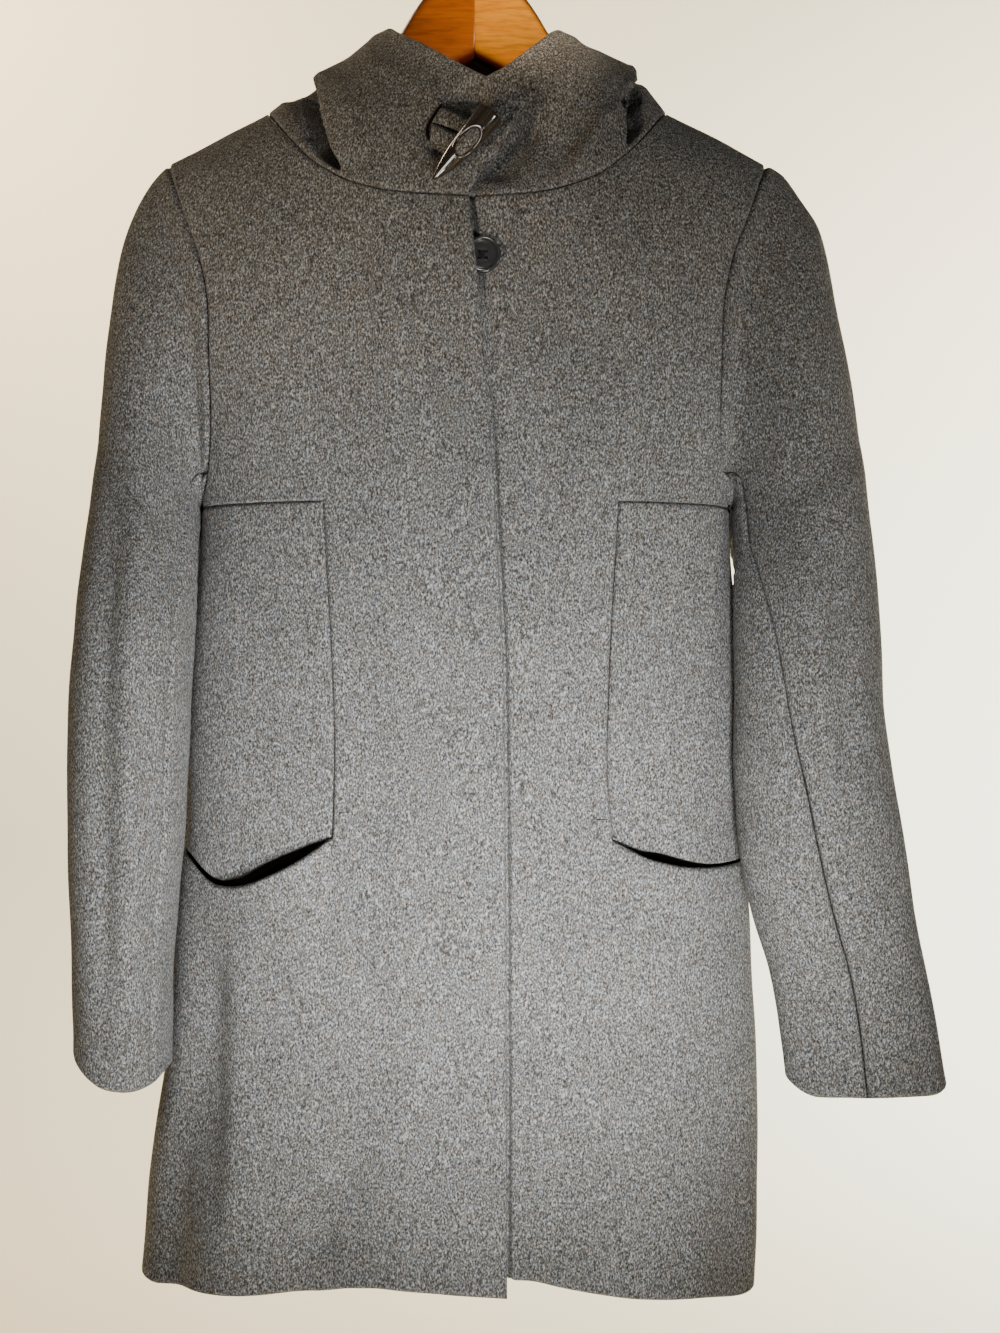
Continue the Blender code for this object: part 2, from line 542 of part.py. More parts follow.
def wall(name, points, normals, thickness, kept=None, flip=False, color=None):
    """Make a closed wall from a grid of outer points, inset at its edges by half a seam gap."""
    rows, columns = len(points) - 1, len(points[0]) - 1
    cells = [(i, j) for i in range(rows) for j in range(columns) if kept is None or kept(i, j)]
    faces = []
    for i, j in cells:
        loop = [(i, j), (i + 1, j), (i + 1, j + 1), (i, j + 1)]
        faces.append(loop[::-1] if flip else loop)
    edges = {}
    for loop in faces:
        for a, b in zip(loop, loop[1:] + loop[:1]):
            edges[(a, b)] = True
    rim = [(a, b) for a, b in edges if (b, a) not in edges]
    inward = {}
    for a, b in rim:
        way = (points[b[0]][b[1]] - points[a[0]][a[1]]).normalized()
        for key in (a, b):
            inward.setdefault(key, []).append(normals[key[0]][key[1]].cross(way).normalized())
    shift = {}
    for key, ways in inward.items():
        total = ways[0] + ways[-1]
        grow = min(1.0 / max(1.0 + ways[0].dot(ways[-1]), 0.15), 4.0)
        shift[key] = total * grow * SEAM_GAP / 2.0
    mesh = bmesh.new()
    outer, inner = {}, {}
    for loop in faces:
        for key in loop:
            if key not in outer:
                spot = points[key[0]][key[1]] + shift.get(key, Vector((0.0, 0.0, 0.0)))
                outer[key] = mesh.verts.new(spot)
                inner[key] = mesh.verts.new(spot - normals[key[0]][key[1]] * thickness)
    for loop in faces:
        mesh.faces.new([outer[key] for key in loop])
        mesh.faces.new([inner[key] for key in reversed(loop)])
    for a, b in rim:
        mesh.faces.new([outer[b], outer[a], inner[a], inner[b]])
    return finish(name, mesh, color or WOOL)


def finish(name, mesh, finish_values):
    """Turn a bmesh into a named object with its own material."""
    bmesh.ops.triangulate(mesh, faces=mesh.faces[:])
    bmesh.ops.recalc_face_normals(mesh, faces=mesh.faces[:])
    data = bpy.data.meshes.new(name)
    mesh.to_mesh(data)
    mesh.free()
    data.shade_smooth()
    data.set_sharp_from_angle(angle=radians(40))
    piece = bpy.data.objects.new(name, data)
    bpy.context.scene.collection.objects.link(piece)
    color, roughness, metallic = finish_values
    material = bpy.data.materials.new(name)
    material.use_nodes = True
    shader = material.node_tree.nodes["Principled BSDF"]
    shader.inputs["Base Color"].default_value = (*color, 1.0)
    shader.inputs["Roughness"].default_value = roughness
    shader.inputs["Metallic"].default_value = metallic
    data.materials.append(material)
    return piece


# Finishes: linear colour, roughness, metallic
WOOL = ((0.24, 0.23, 0.22), 0.95, 0.0)
DARK_LINING = ((0.010, 0.010, 0.011), 0.7, 0.0)
HORN = ((0.03, 0.02, 0.015), 0.25, 0.0)
BUTTON_BLACK = ((0.02, 0.02, 0.022), 0.3, 0.0)
WOOD = ((0.48, 0.15, 0.012), 0.35, 0.0)
STEEL = ((0.6, 0.6, 0.6), 0.25, 1.0)


def grid_normals(points, flip, closed=False):
    """Return outward directions of a grid of points, from the points beside each one."""
    rows, columns = len(points), len(points[0])
    result = []
    for i in range(rows):
        line = []
        for j in range(columns):
            down = points[min(i + 1, rows - 1)][j] - points[max(i - 1, 0)][j]
            if closed:
                along = points[i][(j + 1) % columns] - points[i][j - 1]
            else:
                along = points[i][min(j + 1, columns - 1)] - points[i][max(j - 1, 0)]
            normal = down.cross(along).normalized()
            line.append(-normal if flip else normal)
        result.append(line)
    return result


def clear_of_body(point):
    """Move a sleeve's point out of the body's side, if it lies in it."""
    z = point.z
    if z > UNDERARM_Z:
        return point
    keep = SLEEVE_CLEAR * ease(z, UNDERARM_Z, UNDERARM_Z - CLEAR_FADE)
    n = body["roundness"](z)
    across = (point.x - body["centre"](z)) / (body["half_width"](z) + keep)
    depth = body["front_depth"](z) if point.y < 0 else body["back_depth"](z)
    along = point.y / (depth + keep)
    reach = (abs(across) ** n + abs(along) ** n) ** (1.0 / n)
    if reach >= 1.0:
        return point
    return Vector((body["centre"](z) + (point.x - body["centre"](z)) / reach, point.y / reach, z))


def sleeve_rings(side):
    """Return rings of points down a sleeve, and the body's directions round the armhole."""
    rows = armhole_rows(side)
    loop = [(row[1], row[0]) for row in rows] + [(row[2], row[0]) for row in rows[-2:0:-1]]
    count = len(loop)
    pairs = [skin(angle, z) for angle, z in loop]
    start = [pair[0] for pair in pairs]
    tip, pit = start[0], start[CHEST_ROWS]
    axis = pit - tip
    front_depth = max(-p.y for p in start)
    back_depth = max(p.y for p in start)
    shares, sways, rest = [], [], []
    for p in start:
        share = (p - tip).dot(axis) / axis.dot(axis)
        sway = p.y / (front_depth if p.y < 0 else back_depth)
        shares.append(share)
        sways.append(sway)
        rest.append((p - tip - axis * share) * Vector((1.0, 0.0, 1.0)))
    turn = curves(SEAM_TURN_NAMES, SEAM_TURN[side])
    back_column = count - BACK_SEAM_ROW
    table = SLEEVE_LEFT if side > 0 else SLEEVE_RIGHT
    rings = [start]
    for x_out, z_out, x_in, z_in, y_mid, depth, whole in table:
        out = Vector((side * x_out, 0.0, z_out))
        pit_now = Vector((side * x_in, 0.0, z_in))
        middle = (z_out + z_in) / 2
        front_turn, back_turn = turn["front"](middle), turn["back"](middle)
        ring = []
        for j in range(count):
            if j <= FRONT_SEAM_ROW:
                theta = front_turn * j / FRONT_SEAM_ROW
            elif j <= back_column:
                part = (j - FRONT_SEAM_ROW) / (back_column - FRONT_SEAM_ROW)
                theta = front_turn + (back_turn - front_turn) * part
            else:
                theta = back_turn + (1.0 - back_turn) * (j - back_column) / (count - back_column)
            share = (1 - whole) * shares[j] + whole * (1.0 - cos(2 * pi * theta)) / 2.0
            sway = (1 - whole) * sways[j] - whole * sin(2 * pi * theta)
            point = out + (pit_now - out) * share + rest[j] * (1 - whole) ** 2
            point.y = y_mid * (1.0 if whole == 1.0 else sqrt(share)) + depth * sway
            ring.append(clear_of_body(point))
        rings.append(ring)
    return rings, [pair[1] for pair in pairs], back_column


def hollow_blend(seam, own):
    """Turn a seam's direction towards the sleeve's own where the two meet in a hollow."""
    share = min(max(0.3 - seam.dot(own), 0.0), 0.6)
    return (seam * (1.0 - share) + own * share).normalized()


def build_sleeve(side):
    """Build the top sleeve and the under sleeve of one side."""
    rings, seam_normals, back_column = sleeve_rings(side)
    count = len(rings[0])
    normals = grid_normals(rings, flip=side > 0, closed=True)
    normals[0] = [hollow_blend(a, b) for a, b in zip(seam_normals, normals[0])]
    top_columns = [j % count for j in range(back_column, count + FRONT_SEAM_ROW + 1)]
    under_columns = list(range(FRONT_SEAM_ROW, back_column + 1))
    for name, columns in (("top_sleeve_", top_columns), ("under_sleeve_", under_columns)):
        points = [[ring[j] for j in columns] for ring in rings]
        ways = [[line[j] for j in columns] for line in normals]
        wall(name + SIDE_NAME[side], points, ways, CLOTH, flip=side > 0)


def hood_base(side):
    """Return points and directions along the neckline of one hood half, front edge to back seam."""
    line = front_top(side)[:NECK_COLUMNS + 1]
    pairs = [skin(angle, z, front_lift(side, angle, z)) for angle, z in line]
    half = back_top()[SHOULDER_COLUMNS:SHOULDER_COLUMNS + BACK_NECK_COLUMNS // 2 + 1]
    if side < 0:
        half = back_top()[-1 - SHOULDER_COLUMNS:-2 - SHOULDER_COLUMNS - BACK_NECK_COLUMNS // 2:-1]
    pairs += [skin(angle, z) for angle, z in half[1:]]
    return pairs


def hood_key(columns, station, side, kind):
    """Return one key point of a hood section: crest, fold or free edge."""
    x = columns[kind + "_x"](station) * side + BODY[0][1] * ease(station, *CENTRE_STATIONS)
    y = columns[kind + "_y"](station)
    z = columns[kind + "_z"](station)
    if side > 0:
        near_front = 1.0 - ease(station, *FLAP_STATIONS)
        y += UNDER_FLAP_BACK * near_front
        z -= UNDER_FLAP_DROP * near_front
    return Vector((x, y, z))


def spline(points, steps):
    """Return points on a smooth curve through key points, with a number of steps for each stretch."""
    result = [points[0]]
    last = len(points) - 1
    for i, count in enumerate(steps):
        before, a, b, after = points[max(i - 1, 0)], points[i], points[i + 1], points[min(i + 2, last)]
        leave = (b - before) * 0.5
        arrive = (after - a) * 0.5
        for k in range(1, count + 1):
            t = k / count
            result.append(a * (2 * t ** 3 - 3 * t * t + 1) + leave * (t ** 3 - 2 * t * t + t)
                          + b * (3 * t * t - 2 * t ** 3) + arrive * (t ** 3 - t * t))
    return result


def hood_section(columns, station, side, base):
    """Return the points of one hood section from the neckline to the free edge."""
    crest, fold, edge = [hood_key(columns, station, side, kind) for kind in ("crest", "fold", "edge")]
    pouch = columns["pouch"](station)
    inner = (crest + fold) * 0.5
    floor = body["back_depth"](inner.z) + BACK_CLEAR
    inner.y += (max(inner.y, floor) - inner.y) * pouch
    outer = (fold + edge) * 0.5 + Vector((0.0, POUCH_BELLY * pouch, 0.0))
    before = crest + (base - crest) * 0.25
    after = crest + (inner - crest) * 0.35
    before = before.lerp(crest + Vector((0.0, -CREST_ROUND, -CREST_ROUND)), pouch)
    after = after.lerp(crest + Vector((0.0, CREST_ROUND, -CREST_ROUND)), pouch)
    fold_in = (inner + fold) * 0.5
    fold_out = (fold + outer) * 0.5
    fold_in = fold_in.lerp(fold + Vector((0.0, -FOLD_ROUND, FOLD_ROUND)), pouch)
    fold_out = fold_out.lerp(fold + Vector((0.0, FOLD_ROUND, FOLD_ROUND)), pouch)
    return spline([base, before, crest, after, inner, fold_in, fold, fold_out, outer, edge], HOOD_STEPS)


def hood_points(side):
    """Return the points of one hood half, rows from the neckline to the free edge."""
    columns = curves(HOOD_NAMES, HOOD)
    base = hood_base(side)
    behind = len(base) - 1 - NECK_COLUMNS
    sections = []
    for j, (point, normal) in enumerate(base):
        station = NECK_STATION * j / NECK_COLUMNS
        if j > NECK_COLUMNS:
            station = NECK_STATION + (1.0 - NECK_STATION) * (j - NECK_COLUMNS) / behind
        sections.append(hood_section(columns, station, side, point))
    return [[section[i] for section in sections] for i in range(len(sections[0]))], base


def hood_directions(points, base, side):
    """Return outward directions of a hood half below its crest, of its flap and of its pouch."""
    low = grid_normals(points[:CREST_ROW + 1], flip=side > 0)
    flap = grid_normals([line[:FLAP_LAST + 1] for line in points], flip=side > 0)
    pouch = grid_normals([line[POUCH_FIRST:] for line in points[CREST_ROW:]], flip=side > 0)
    low[0] = [normal for point, normal in base]
    for k, normal in enumerate(pouch[0]):
        shared = (normal + low[CREST_ROW][POUCH_FIRST + k]).normalized()
        pouch[0][k] = low[CREST_ROW][POUCH_FIRST + k] = shared
    for line in low + pouch:
        line[-1] = Vector((0.0, line[-1].y, line[-1].z)).normalized()
    return low, flap, pouch


def build_hood(side):
    """Build one hood half: its flap up to the free edge and its standing back up to the crest."""
    points, base = hood_points(side)
    low, flap = hood_directions(points, base, side)[:2]
    normals = []
    for i in range(len(points)):
        row = low[min(i, CREST_ROW)]
        line = [flap[i][j] if i else row[j] for j in range(FLAP_LAST)]
        last = flap[i][FLAP_LAST]
        if i <= CREST_ROW:
            last = (last + row[FLAP_LAST]).normalized()
        normals.append(line + [last] + row[FLAP_LAST + 1:])

    def kept(i, j):
        return j < FLAP_LAST or i < CREST_ROW - (TUCK_ROWS if j == FLAP_LAST else 0)
    return wall("hood_" + SIDE_NAME[side], points, normals, CLOTH, kept, flip=side > 0)


def joined_halves(pick):
    """Join rows of points and directions of the left and the right half at the back seam."""
    halves = [pick(1), pick(-1)]
    rows = len(halves[0][0])
    points = [halves[0][0][i] + halves[1][0][i][-2::-1] for i in range(rows)]
    normals = [halves[0][1][i] + halves[1][1][i][-2::-1] for i in range(rows)]
    return points, normals


def pouch_half(side):
    """Return points and directions of one half of the hanging pouch."""
    points, base = hood_points(side)
    pouch = hood_directions(points, base, side)[2]
    return [line[POUCH_FIRST:] for line in points[CREST_ROW:]], pouch


def lining_half(side):
    """Return points and directions of one half of the lining, inside the hood's standing back."""
    points, base = hood_points(side)
    low = hood_directions(points, base, side)[0]
    first, last = LINING_ROWS
    normals = [line[POUCH_FIRST:] for line in low[first:last + 1]]
    rows = [line[POUCH_FIRST:] for line in points[first:last + 1]]
    inside = [[point - normal * (CLOTH + SEAM_GAP) for point, normal in zip(*pair)]
              for pair in zip(rows, normals)]
    return inside, normals


def build_pouch():
    """Build the crown of the hood, which hangs down behind as a pouch."""
    points, normals = joined_halves(pouch_half)
    return wall("hood_crown", points, normals, CLOTH, flip=True)


def build_lining():
    """Build the lining on the inside of the hood's standing back."""
    points, normals = joined_halves(lining_half)
    return wall("hood_lining", points, normals, LINING, flip=True, color=DARK_LINING)


def flap_spot(place_xz, stand_off):
    """Return a point at a distance in front of the over flap."""
    x, z = place_xz
    y = FLAP_SPOT[1] + FLAP_SLOPE[0] * (x - FLAP_SPOT[0]) + FLAP_SLOPE[1] * (z - FLAP_SPOT[2])
    return Vector((x, y - stand_off, z))


def build_toggle():
    """Build the horn toggle, thick at its top and drawn to a point."""
    top = flap_spot(TOGGLE_TOP, TOGGLE_STAND[0])
    tip = flap_spot(TOGGLE_TIP, TOGGLE_STAND[1])
    path = [top.lerp(tip, share) for share, radius in TOGGLE]
    mesh = bmesh.new()
    tube(mesh, path, [radius for share, radius in TOGGLE], TOGGLE_SIDES, Vector((0.0, 1.0, 0.0)))
    return finish("toggle", mesh, HORN)


def build_loop():
    """Build the cloth loop that comes out of the over flap and holds the toggle."""
    half = (Vector(TOGGLE_TIP) - Vector(TOGGLE_TOP)).normalized() * LOOP_WIDTH / 2
    low = SEAM_GAP + LOOP_WALL
    points, normals = [], []
    for i in range(LOOP_ROWS + 1):
        share = i / LOOP_ROWS
        middle = Vector(LOOP_SLIT).lerp(Vector(LOOP_END), share)
        stand = low + (LOOP_STAND - low) * ease(share, 0.0, 1.0)
        points.append([flap_spot(spot, stand) for spot in (middle - half, middle, middle + half)])
        normals.append([Vector((0.0, -1.0, 0.0))] * 3)
    return wall("toggle_loop", points, normals, LOOP_WALL, flip=True)


def build_button():
    """Build the dished button on the under front."""
    angle = angle_at(BUTTON_PLACE[0], BUTTON_PLACE[1])
    point, normal = skin(angle, BUTTON_PLACE[1], under_lift(*BUTTON_PLACE))
    across = Vector((0.0, 0.0, 1.0)).cross(normal).normalized()
    up = normal.cross(across)
    mesh = bmesh.new()
    rings = []
    for share, height in BUTTON_PROFILE:
        middle = point + normal * (SEAM_GAP + height * BUTTON_HEIGHT)
        ring = []
        for k in range(BUTTON_SIDES):
            turn = 2 * pi * k / BUTTON_SIDES
            way = across * cos(turn) + up * sin(turn)
            ring.append(mesh.verts.new(middle + way * BUTTON_RADIUS * share))
        rings.append(ring)
    for a, b in zip(rings, rings[1:]):
        for k in range(BUTTON_SIDES):
            mesh.faces.new([a[k], a[(k + 1) % BUTTON_SIDES], b[(k + 1) % BUTTON_SIDES], b[k]])
    mesh.faces.new(rings[0])
    mesh.faces.new(rings[-1])
    return finish("button", mesh, BUTTON_BLACK)


def tube(mesh, path, radii, sides, sideways):
    """Add a closed tube along a path."""
    rings = []
    for i, point in enumerate(path):
        way = (path[min(i + 1, len(path) - 1)] - path[max(i - 1, 0)]).normalized()
        across = sideways.cross(way).normalized()
        up = way.cross(across)
        turns = [2 * pi * k / sides for k in range(sides)]
        spots = [point + (across * cos(turn) + up * sin(turn)) * radii[i] for turn in turns]
        rings.append([mesh.verts.new(spot) for spot in spots])
    for a, b in zip(rings, rings[1:]):
        for k in range(sides):
            mesh.faces.new([a[k], a[(k + 1) % sides], b[(k + 1) % sides], b[k]])
    mesh.faces.new(rings[0][::-1])
    mesh.faces.new(rings[-1])


def build_hook():
    """Build the steel hook; the inner top of its bow is the origin."""
    middle = Vector((0.0, 0.0, HOOK_WIRE - HOOK_RADIUS))
    bow = []
    for k in range(HOOK_STEPS + 1):
        turn = radians(HOOK_FIRST + (HOOK_LAST - HOOK_FIRST) * k / HOOK_STEPS)
        bow.append(middle + Vector((cos(turn), 0.0, sin(turn))) * HOOK_RADIUS)
    stem = [Vector((x, 0.0, HANGER[0][1] + rise)) for x, rise in HOOK_STEM]
    path = spline(stem + bow[:1], HOOK_STEM_STEPS) + bow[1:]
    mesh = bmesh.new()
    tube(mesh, path, [HOOK_WIRE] * len(path), HOOK_SIDES, Vector((0.0, 1.0, 0.0)))
    return finish("hanger_hook", mesh, STEEL)


def hanger_rows():
    """Return x, top, bottom and half thickness of the hanger's sections to its rounded end."""
    rows = list(HANGER)
    start = HANGER[-1][0]
    for share in HANGER_END_SHARES:
        x = start + (HANGER_END - start) * share
        across = x - BODY[0][1] - NECK_POINT
        arm_top = NECK_POINT_Z - RIDGE_SLOPE * across - CLOTH - HANGER_REST
        past = max(0.0, (share - HANGER_END_ROUND) / (1.0 - HANGER_END_ROUND))
        close = sqrt(1.0 - past ** 2)
        middle = arm_top - HANGER_END_DEPTH / 2
        half = HANGER_END_DEPTH / 2 * (0.35 + 0.65 * close)
        rows.append((x, middle + half, middle - half, HANGER_END_HALF * (0.5 + 0.5 * close)))
    return rows


def build_hanger(side):
    """Build one half of the wooden hanger from rounded sections."""
    sides = HANGER_SIDES
    mesh = bmesh.new()
    rings = []
    for x, top, bottom, half_thick in hanger_rows():
        middle, half = (top + bottom) / 2, (top - bottom) / 2
        ring = []
        for k in range(sides):
            turn = 2 * pi * k / sides
            y = half_thick * copysign(abs(sin(turn)) ** 0.7, sin(turn))
            z = middle + half * copysign(abs(cos(turn)) ** 0.8, cos(turn))
            ring.append(mesh.verts.new((side * (x + (SEAM_GAP / 2 if x == 0 else 0.0)), y, z)))
        rings.append(ring)
    for a, b in zip(rings, rings[1:]):
        for k in range(sides):
            mesh.faces.new([a[k], a[(k + 1) % sides], b[(k + 1) % sides], b[k]])
    mesh.faces.new(rings[0])
    mesh.faces.new(rings[-1])
    return finish("hanger_wood_" + SIDE_NAME[side], mesh, WOOD)


for old in list(bpy.data.objects):
    bpy.data.objects.remove(old)
for each_side in (-1, 1):
    build_front(each_side)
    build_side_panel(each_side)
    build_sleeve(each_side)
    build_hood(each_side)
    build_hanger(each_side)
build_back()
build_pouch()
build_lining()
build_toggle()
build_loop()
build_button()
build_hook()
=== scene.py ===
# %% [markdown]
# # A hooded wool coat on its wooden hanger
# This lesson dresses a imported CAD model. The CAD solids are coarse walls with the coat's true shape. Here
# each cut piece becomes a fine shell of heather wool on the same form, with its seams, edges, folds and
# fastenings.

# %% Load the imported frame
from math import cos, pi, radians, sin

import bpy
import numpy as np
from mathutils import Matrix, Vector
from mathutils.kdtree import KDTree


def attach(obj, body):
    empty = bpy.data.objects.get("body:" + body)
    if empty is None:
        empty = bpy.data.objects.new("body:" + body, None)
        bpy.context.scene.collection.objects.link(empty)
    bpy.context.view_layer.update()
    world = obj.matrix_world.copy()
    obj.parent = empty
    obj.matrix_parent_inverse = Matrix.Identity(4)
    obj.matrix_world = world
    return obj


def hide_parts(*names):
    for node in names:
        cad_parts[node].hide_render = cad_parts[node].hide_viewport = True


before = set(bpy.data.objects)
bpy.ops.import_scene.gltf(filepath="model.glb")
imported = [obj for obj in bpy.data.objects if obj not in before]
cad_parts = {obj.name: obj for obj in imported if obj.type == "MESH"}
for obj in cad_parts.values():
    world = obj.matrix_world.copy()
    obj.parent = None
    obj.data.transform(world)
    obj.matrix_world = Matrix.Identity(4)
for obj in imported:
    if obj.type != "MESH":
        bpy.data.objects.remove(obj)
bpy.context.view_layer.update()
collection = bpy.context.scene.collection

# %% [markdown]
# The photograph was taken straight from the front, level with the middle of the coat and about 1.2 m away. A
# vertical sensor fit keeps the framing the same whatever the width of the picture.

# %% Camera
CAMERA_PLACE = (0.0176, -1.2, -0.541)
HALF_VIEW = 0.3866          # tangent of half the vertical view
SENSOR = 36.0
camera_data = bpy.data.cameras.new("camera")
camera_data.sensor_fit = "VERTICAL"
camera_data.sensor_height = SENSOR
camera_data.lens = SENSOR / 2 / HALF_VIEW
camera = bpy.data.objects.new("camera", camera_data)
camera.location = CAMERA_PLACE
camera.rotation_euler = (radians(90), 0.0, 0.0)
collection.objects.link(camera)
bpy.context.scene.camera = camera
print("lens", round(camera_data.lens, 2), "mm")

# %% [markdown]
# The coat's form comes from short tables: sections of the body at a few levels, and the lines of its seams. A
# smooth curve runs through each column. Working with whole numpy arrays makes tens of thousands of points
# quick.

# %% Sizes and tables of the body
CLOTH = 0.0025              # thickness of the wool cloth
UNDERARM_Z, HEM_Z = -0.432, -0.954
NECK_POINT, NECK_POINT_Z = 0.1385, -0.1588
SHOULDER_TIP, SHOULDER_TIP_Z = 0.207, -0.193
SHOULDER_ROUND = 0.140      # height over which the shoulder rounds down into chest and back
UNDERLAP, LAP_START, LAP_FADE = 0.060, 0.003, 0.032
LAYER_GAP = 0.0006          # space between two layers that lie on each other
POCKET_DEPTH = 0.034
UNDER_SHORT, UNDER_SETBACK = 0.006, 0.016
SETBACK_X, SETBACK_Z = (0.020, 0.110), (-0.800, -0.950)
RIDGE_BAND = 0.0008
EDGE_DIP, EDGE_DIP_AT, EDGE_DIP_SPREAD = 0.0045, 0.0012, 0.0018     # groove in the under front along the over one
BODY = (  # z, centre, half width, front depth, back depth, roundness
    (-0.150, -0.0050, 0.2750, 0.075, 0.056, 2.4), (-0.193, -0.0050, 0.2600, 0.075, 0.056, 2.4),
    (-0.250, -0.0052, 0.2320, 0.075, 0.057, 2.4), (-0.300, -0.0054, 0.2150, 0.076, 0.058, 2.4),
    (-0.370, -0.0056, 0.1960, 0.076, 0.060, 2.4), (-0.432, -0.0058, 0.1825, 0.075, 0.060, 2.4),
    (-0.507, -0.0065, 0.1875, 0.074, 0.060, 2.4), (-0.613, -0.0070, 0.1930, 0.074, 0.060, 2.4),
    (-0.706, -0.0080, 0.1980, 0.076, 0.062, 2.4), (-0.810, -0.0093, 0.2037, 0.078, 0.063, 2.5),
    (-0.870, -0.0134, 0.2090, 0.079, 0.064, 2.6), (-0.960, -0.0177, 0.2115, 0.080, 0.065, 2.6))
ARMHOLE = ((-0.193, 0.2070), (-0.234, 0.1916), (-0.268, 0.1800), (-0.306, 0.1740),
           (-0.370, 0.1740), (-0.415, 0.1775), (-0.432, 0.1825))
FRONT_NECK = ((0.000, -0.2334), (0.050, -0.2295), (0.075, -0.2225), (0.0935, -0.2120),
              (0.109, -0.1985), (0.1235, -0.1810), (NECK_POINT, NECK_POINT_Z))
BACK_NECK = ((0.000, -0.1660), (0.050, -0.1660), (0.100, -0.1645), (NECK_POINT, NECK_POINT_Z))
FRONT_EDGE = ((-0.230, -0.0030), (-0.2686, 0.0009), (-0.338, 0.0078), (-0.4585, 0.0156),
              (-0.563, 0.0202), (-0.628, 0.0209), (-0.960, 0.0222))
PANEL_SEAM = ((-0.432, 0.0932, 0.1020), (-0.600, 0.0845, 0.0952), (-0.656, 0.0852, 0.0995),
              (-0.960, 0.0950, 0.1080))
MOUTH = (  # share of the way to the side seam, level of the mouth on the right and on the left
    (0.00, -0.6538, -0.6558), (0.06, -0.6640, -0.6622), (0.12, -0.6718, -0.6674), (0.20, -0.6790, -0.6710),
    (0.28, -0.6846, -0.6736), (0.37, -0.6870, -0.6748), (0.44, -0.6868, -0.6752), (0.52, -0.6838, -0.6752),
    (0.60, -0.6788, -0.6749), (0.72, -0.6715, -0.6744), (1.00, -0.6640, -0.6735))
MOUTH_GAPE = {-1: 0.013, 1: 0.008}
GAPE_PEAK = 14.93           # brings share * (1 - share) ** 5 to 1 at its highest
GAPE_FADE = 0.4             # share of the skirt over which the gape closes
FOLDS = (  # angle, spread, rise, top, full
    (-19.0, 9.0, -0.0150, -0.820, -0.950), (-40.0, 10.0, 0.0060, -0.780, -0.940),
    (-58.0, 8.0, -0.0070, -0.740, -0.900), (28.0, 12.0, 0.0060, -0.760, -0.940),
    (62.0, 10.0, -0.0060, -0.780, -0.930), (128.0, 11.0, -0.0090, -0.700, -0.930),
    (158.0, 12.0, 0.0080, -0.680, -0.930), (190.0, 11.0, -0.0080, -0.640, -0.930),
    (222.0, 12.0, 0.0080, -0.700, -0.930), (245.0, 9.0, -0.0060, -0.720, -0.930))
SIDE_NAME = {-1: "right", 1: "left"}
RIDGE_SLOPE = (NECK_POINT_Z - SHOULDER_TIP_Z) / (SHOULDER_TIP - NECK_POINT)
BUTTON_PLACE, BUTTON_RAISE, BUTTON_SPREAD = (0.0062, -0.2729), 0.0048, 0.030


# %% [markdown]
# A table gives only a few levels, so a curve has to fill in the rest. Blender's own curves could do it. A
# spline that never swings past its keys is used instead, because it keeps a straight seam straight. The
# sleeves, the hood, the toggle and the button use it too.

# %% Smooth curves through tables
def smooth(keys, values):
    """Return a smooth curve through keys and values that never swings past them."""
    order = np.argsort(keys)
    x, y = np.asarray(keys, float)[order], np.asarray(values, float)[order]
    step = np.diff(x)
    rise = np.diff(y) / step
    slopes = np.concatenate([rise[:1], np.zeros(len(x) - 2), rise[-1:]])
    for k in range(1, len(x) - 1):
        if rise[k - 1] * rise[k] > 0:
            slopes[k] = (step[k - 1] + step[k]) / (step[k - 1] / rise[k] + step[k] / rise[k - 1])

    def at(key):
        key = np.clip(key, x[0], x[-1])
        i = np.clip(np.searchsorted(x, key) - 1, 0, len(step) - 1)
        t = (key - x[i]) / step[i]
        return (y[i] * (1 + 2 * t) * (1 - t) ** 2 + y[i + 1] * t * t * (3 - 2 * t)
                + step[i] * t * (1 - t) * (slopes[i] * (1 - t) - slopes[i + 1] * t))
    return at


def columns_of(table):
    """Return a smooth curve for each column of a table after its first one."""
    keys = [row[0] for row in table]
    return [smooth(keys, [row[k] for row in table]) for k in range(1, len(table[0]))]


def ease(value, start, end):
    """Go smoothly from 0 at start to 1 at end."""
    t = np.clip((value - start) / (end - start), 0.0, 1.0)
    return t * t * (3 - 2 * t)


centre, half_width, front_depth, back_depth, roundness = columns_of(BODY)
armhole_x, = columns_of(ARMHOLE)
front_neck_z, = columns_of(FRONT_NECK)
back_neck_z, = columns_of(BACK_NECK)
front_edge, = columns_of(FRONT_EDGE)
panel_seam = dict(zip((-1, 1), columns_of(PANEL_SEAM)))
mouth_z = dict(zip((-1, 1), columns_of(MOUTH)))
print("tables with", len(BODY), "body sections and", len(FOLDS), "large folds")


# %% [markdown]
# The body of the coat is a tube of oval sections that rounds over at the shoulders. It could be sculpted. A
# formula that gives a point for each angle and level is better here: every cut piece is laid on the same
# surface, so neighbours meet along their seams.

# %% The body's surface
def unit(vectors):
    """Return vectors of length one."""
    return vectors / np.maximum(np.linalg.norm(vectors, axis=-1, keepdims=True), 1e-12)


def ridge_z(x, z):
    """Return the height of the shoulder line above a place on the body."""
    return NECK_POINT_Z - RIDGE_SLOPE * (np.abs(x - centre(z)) - NECK_POINT)


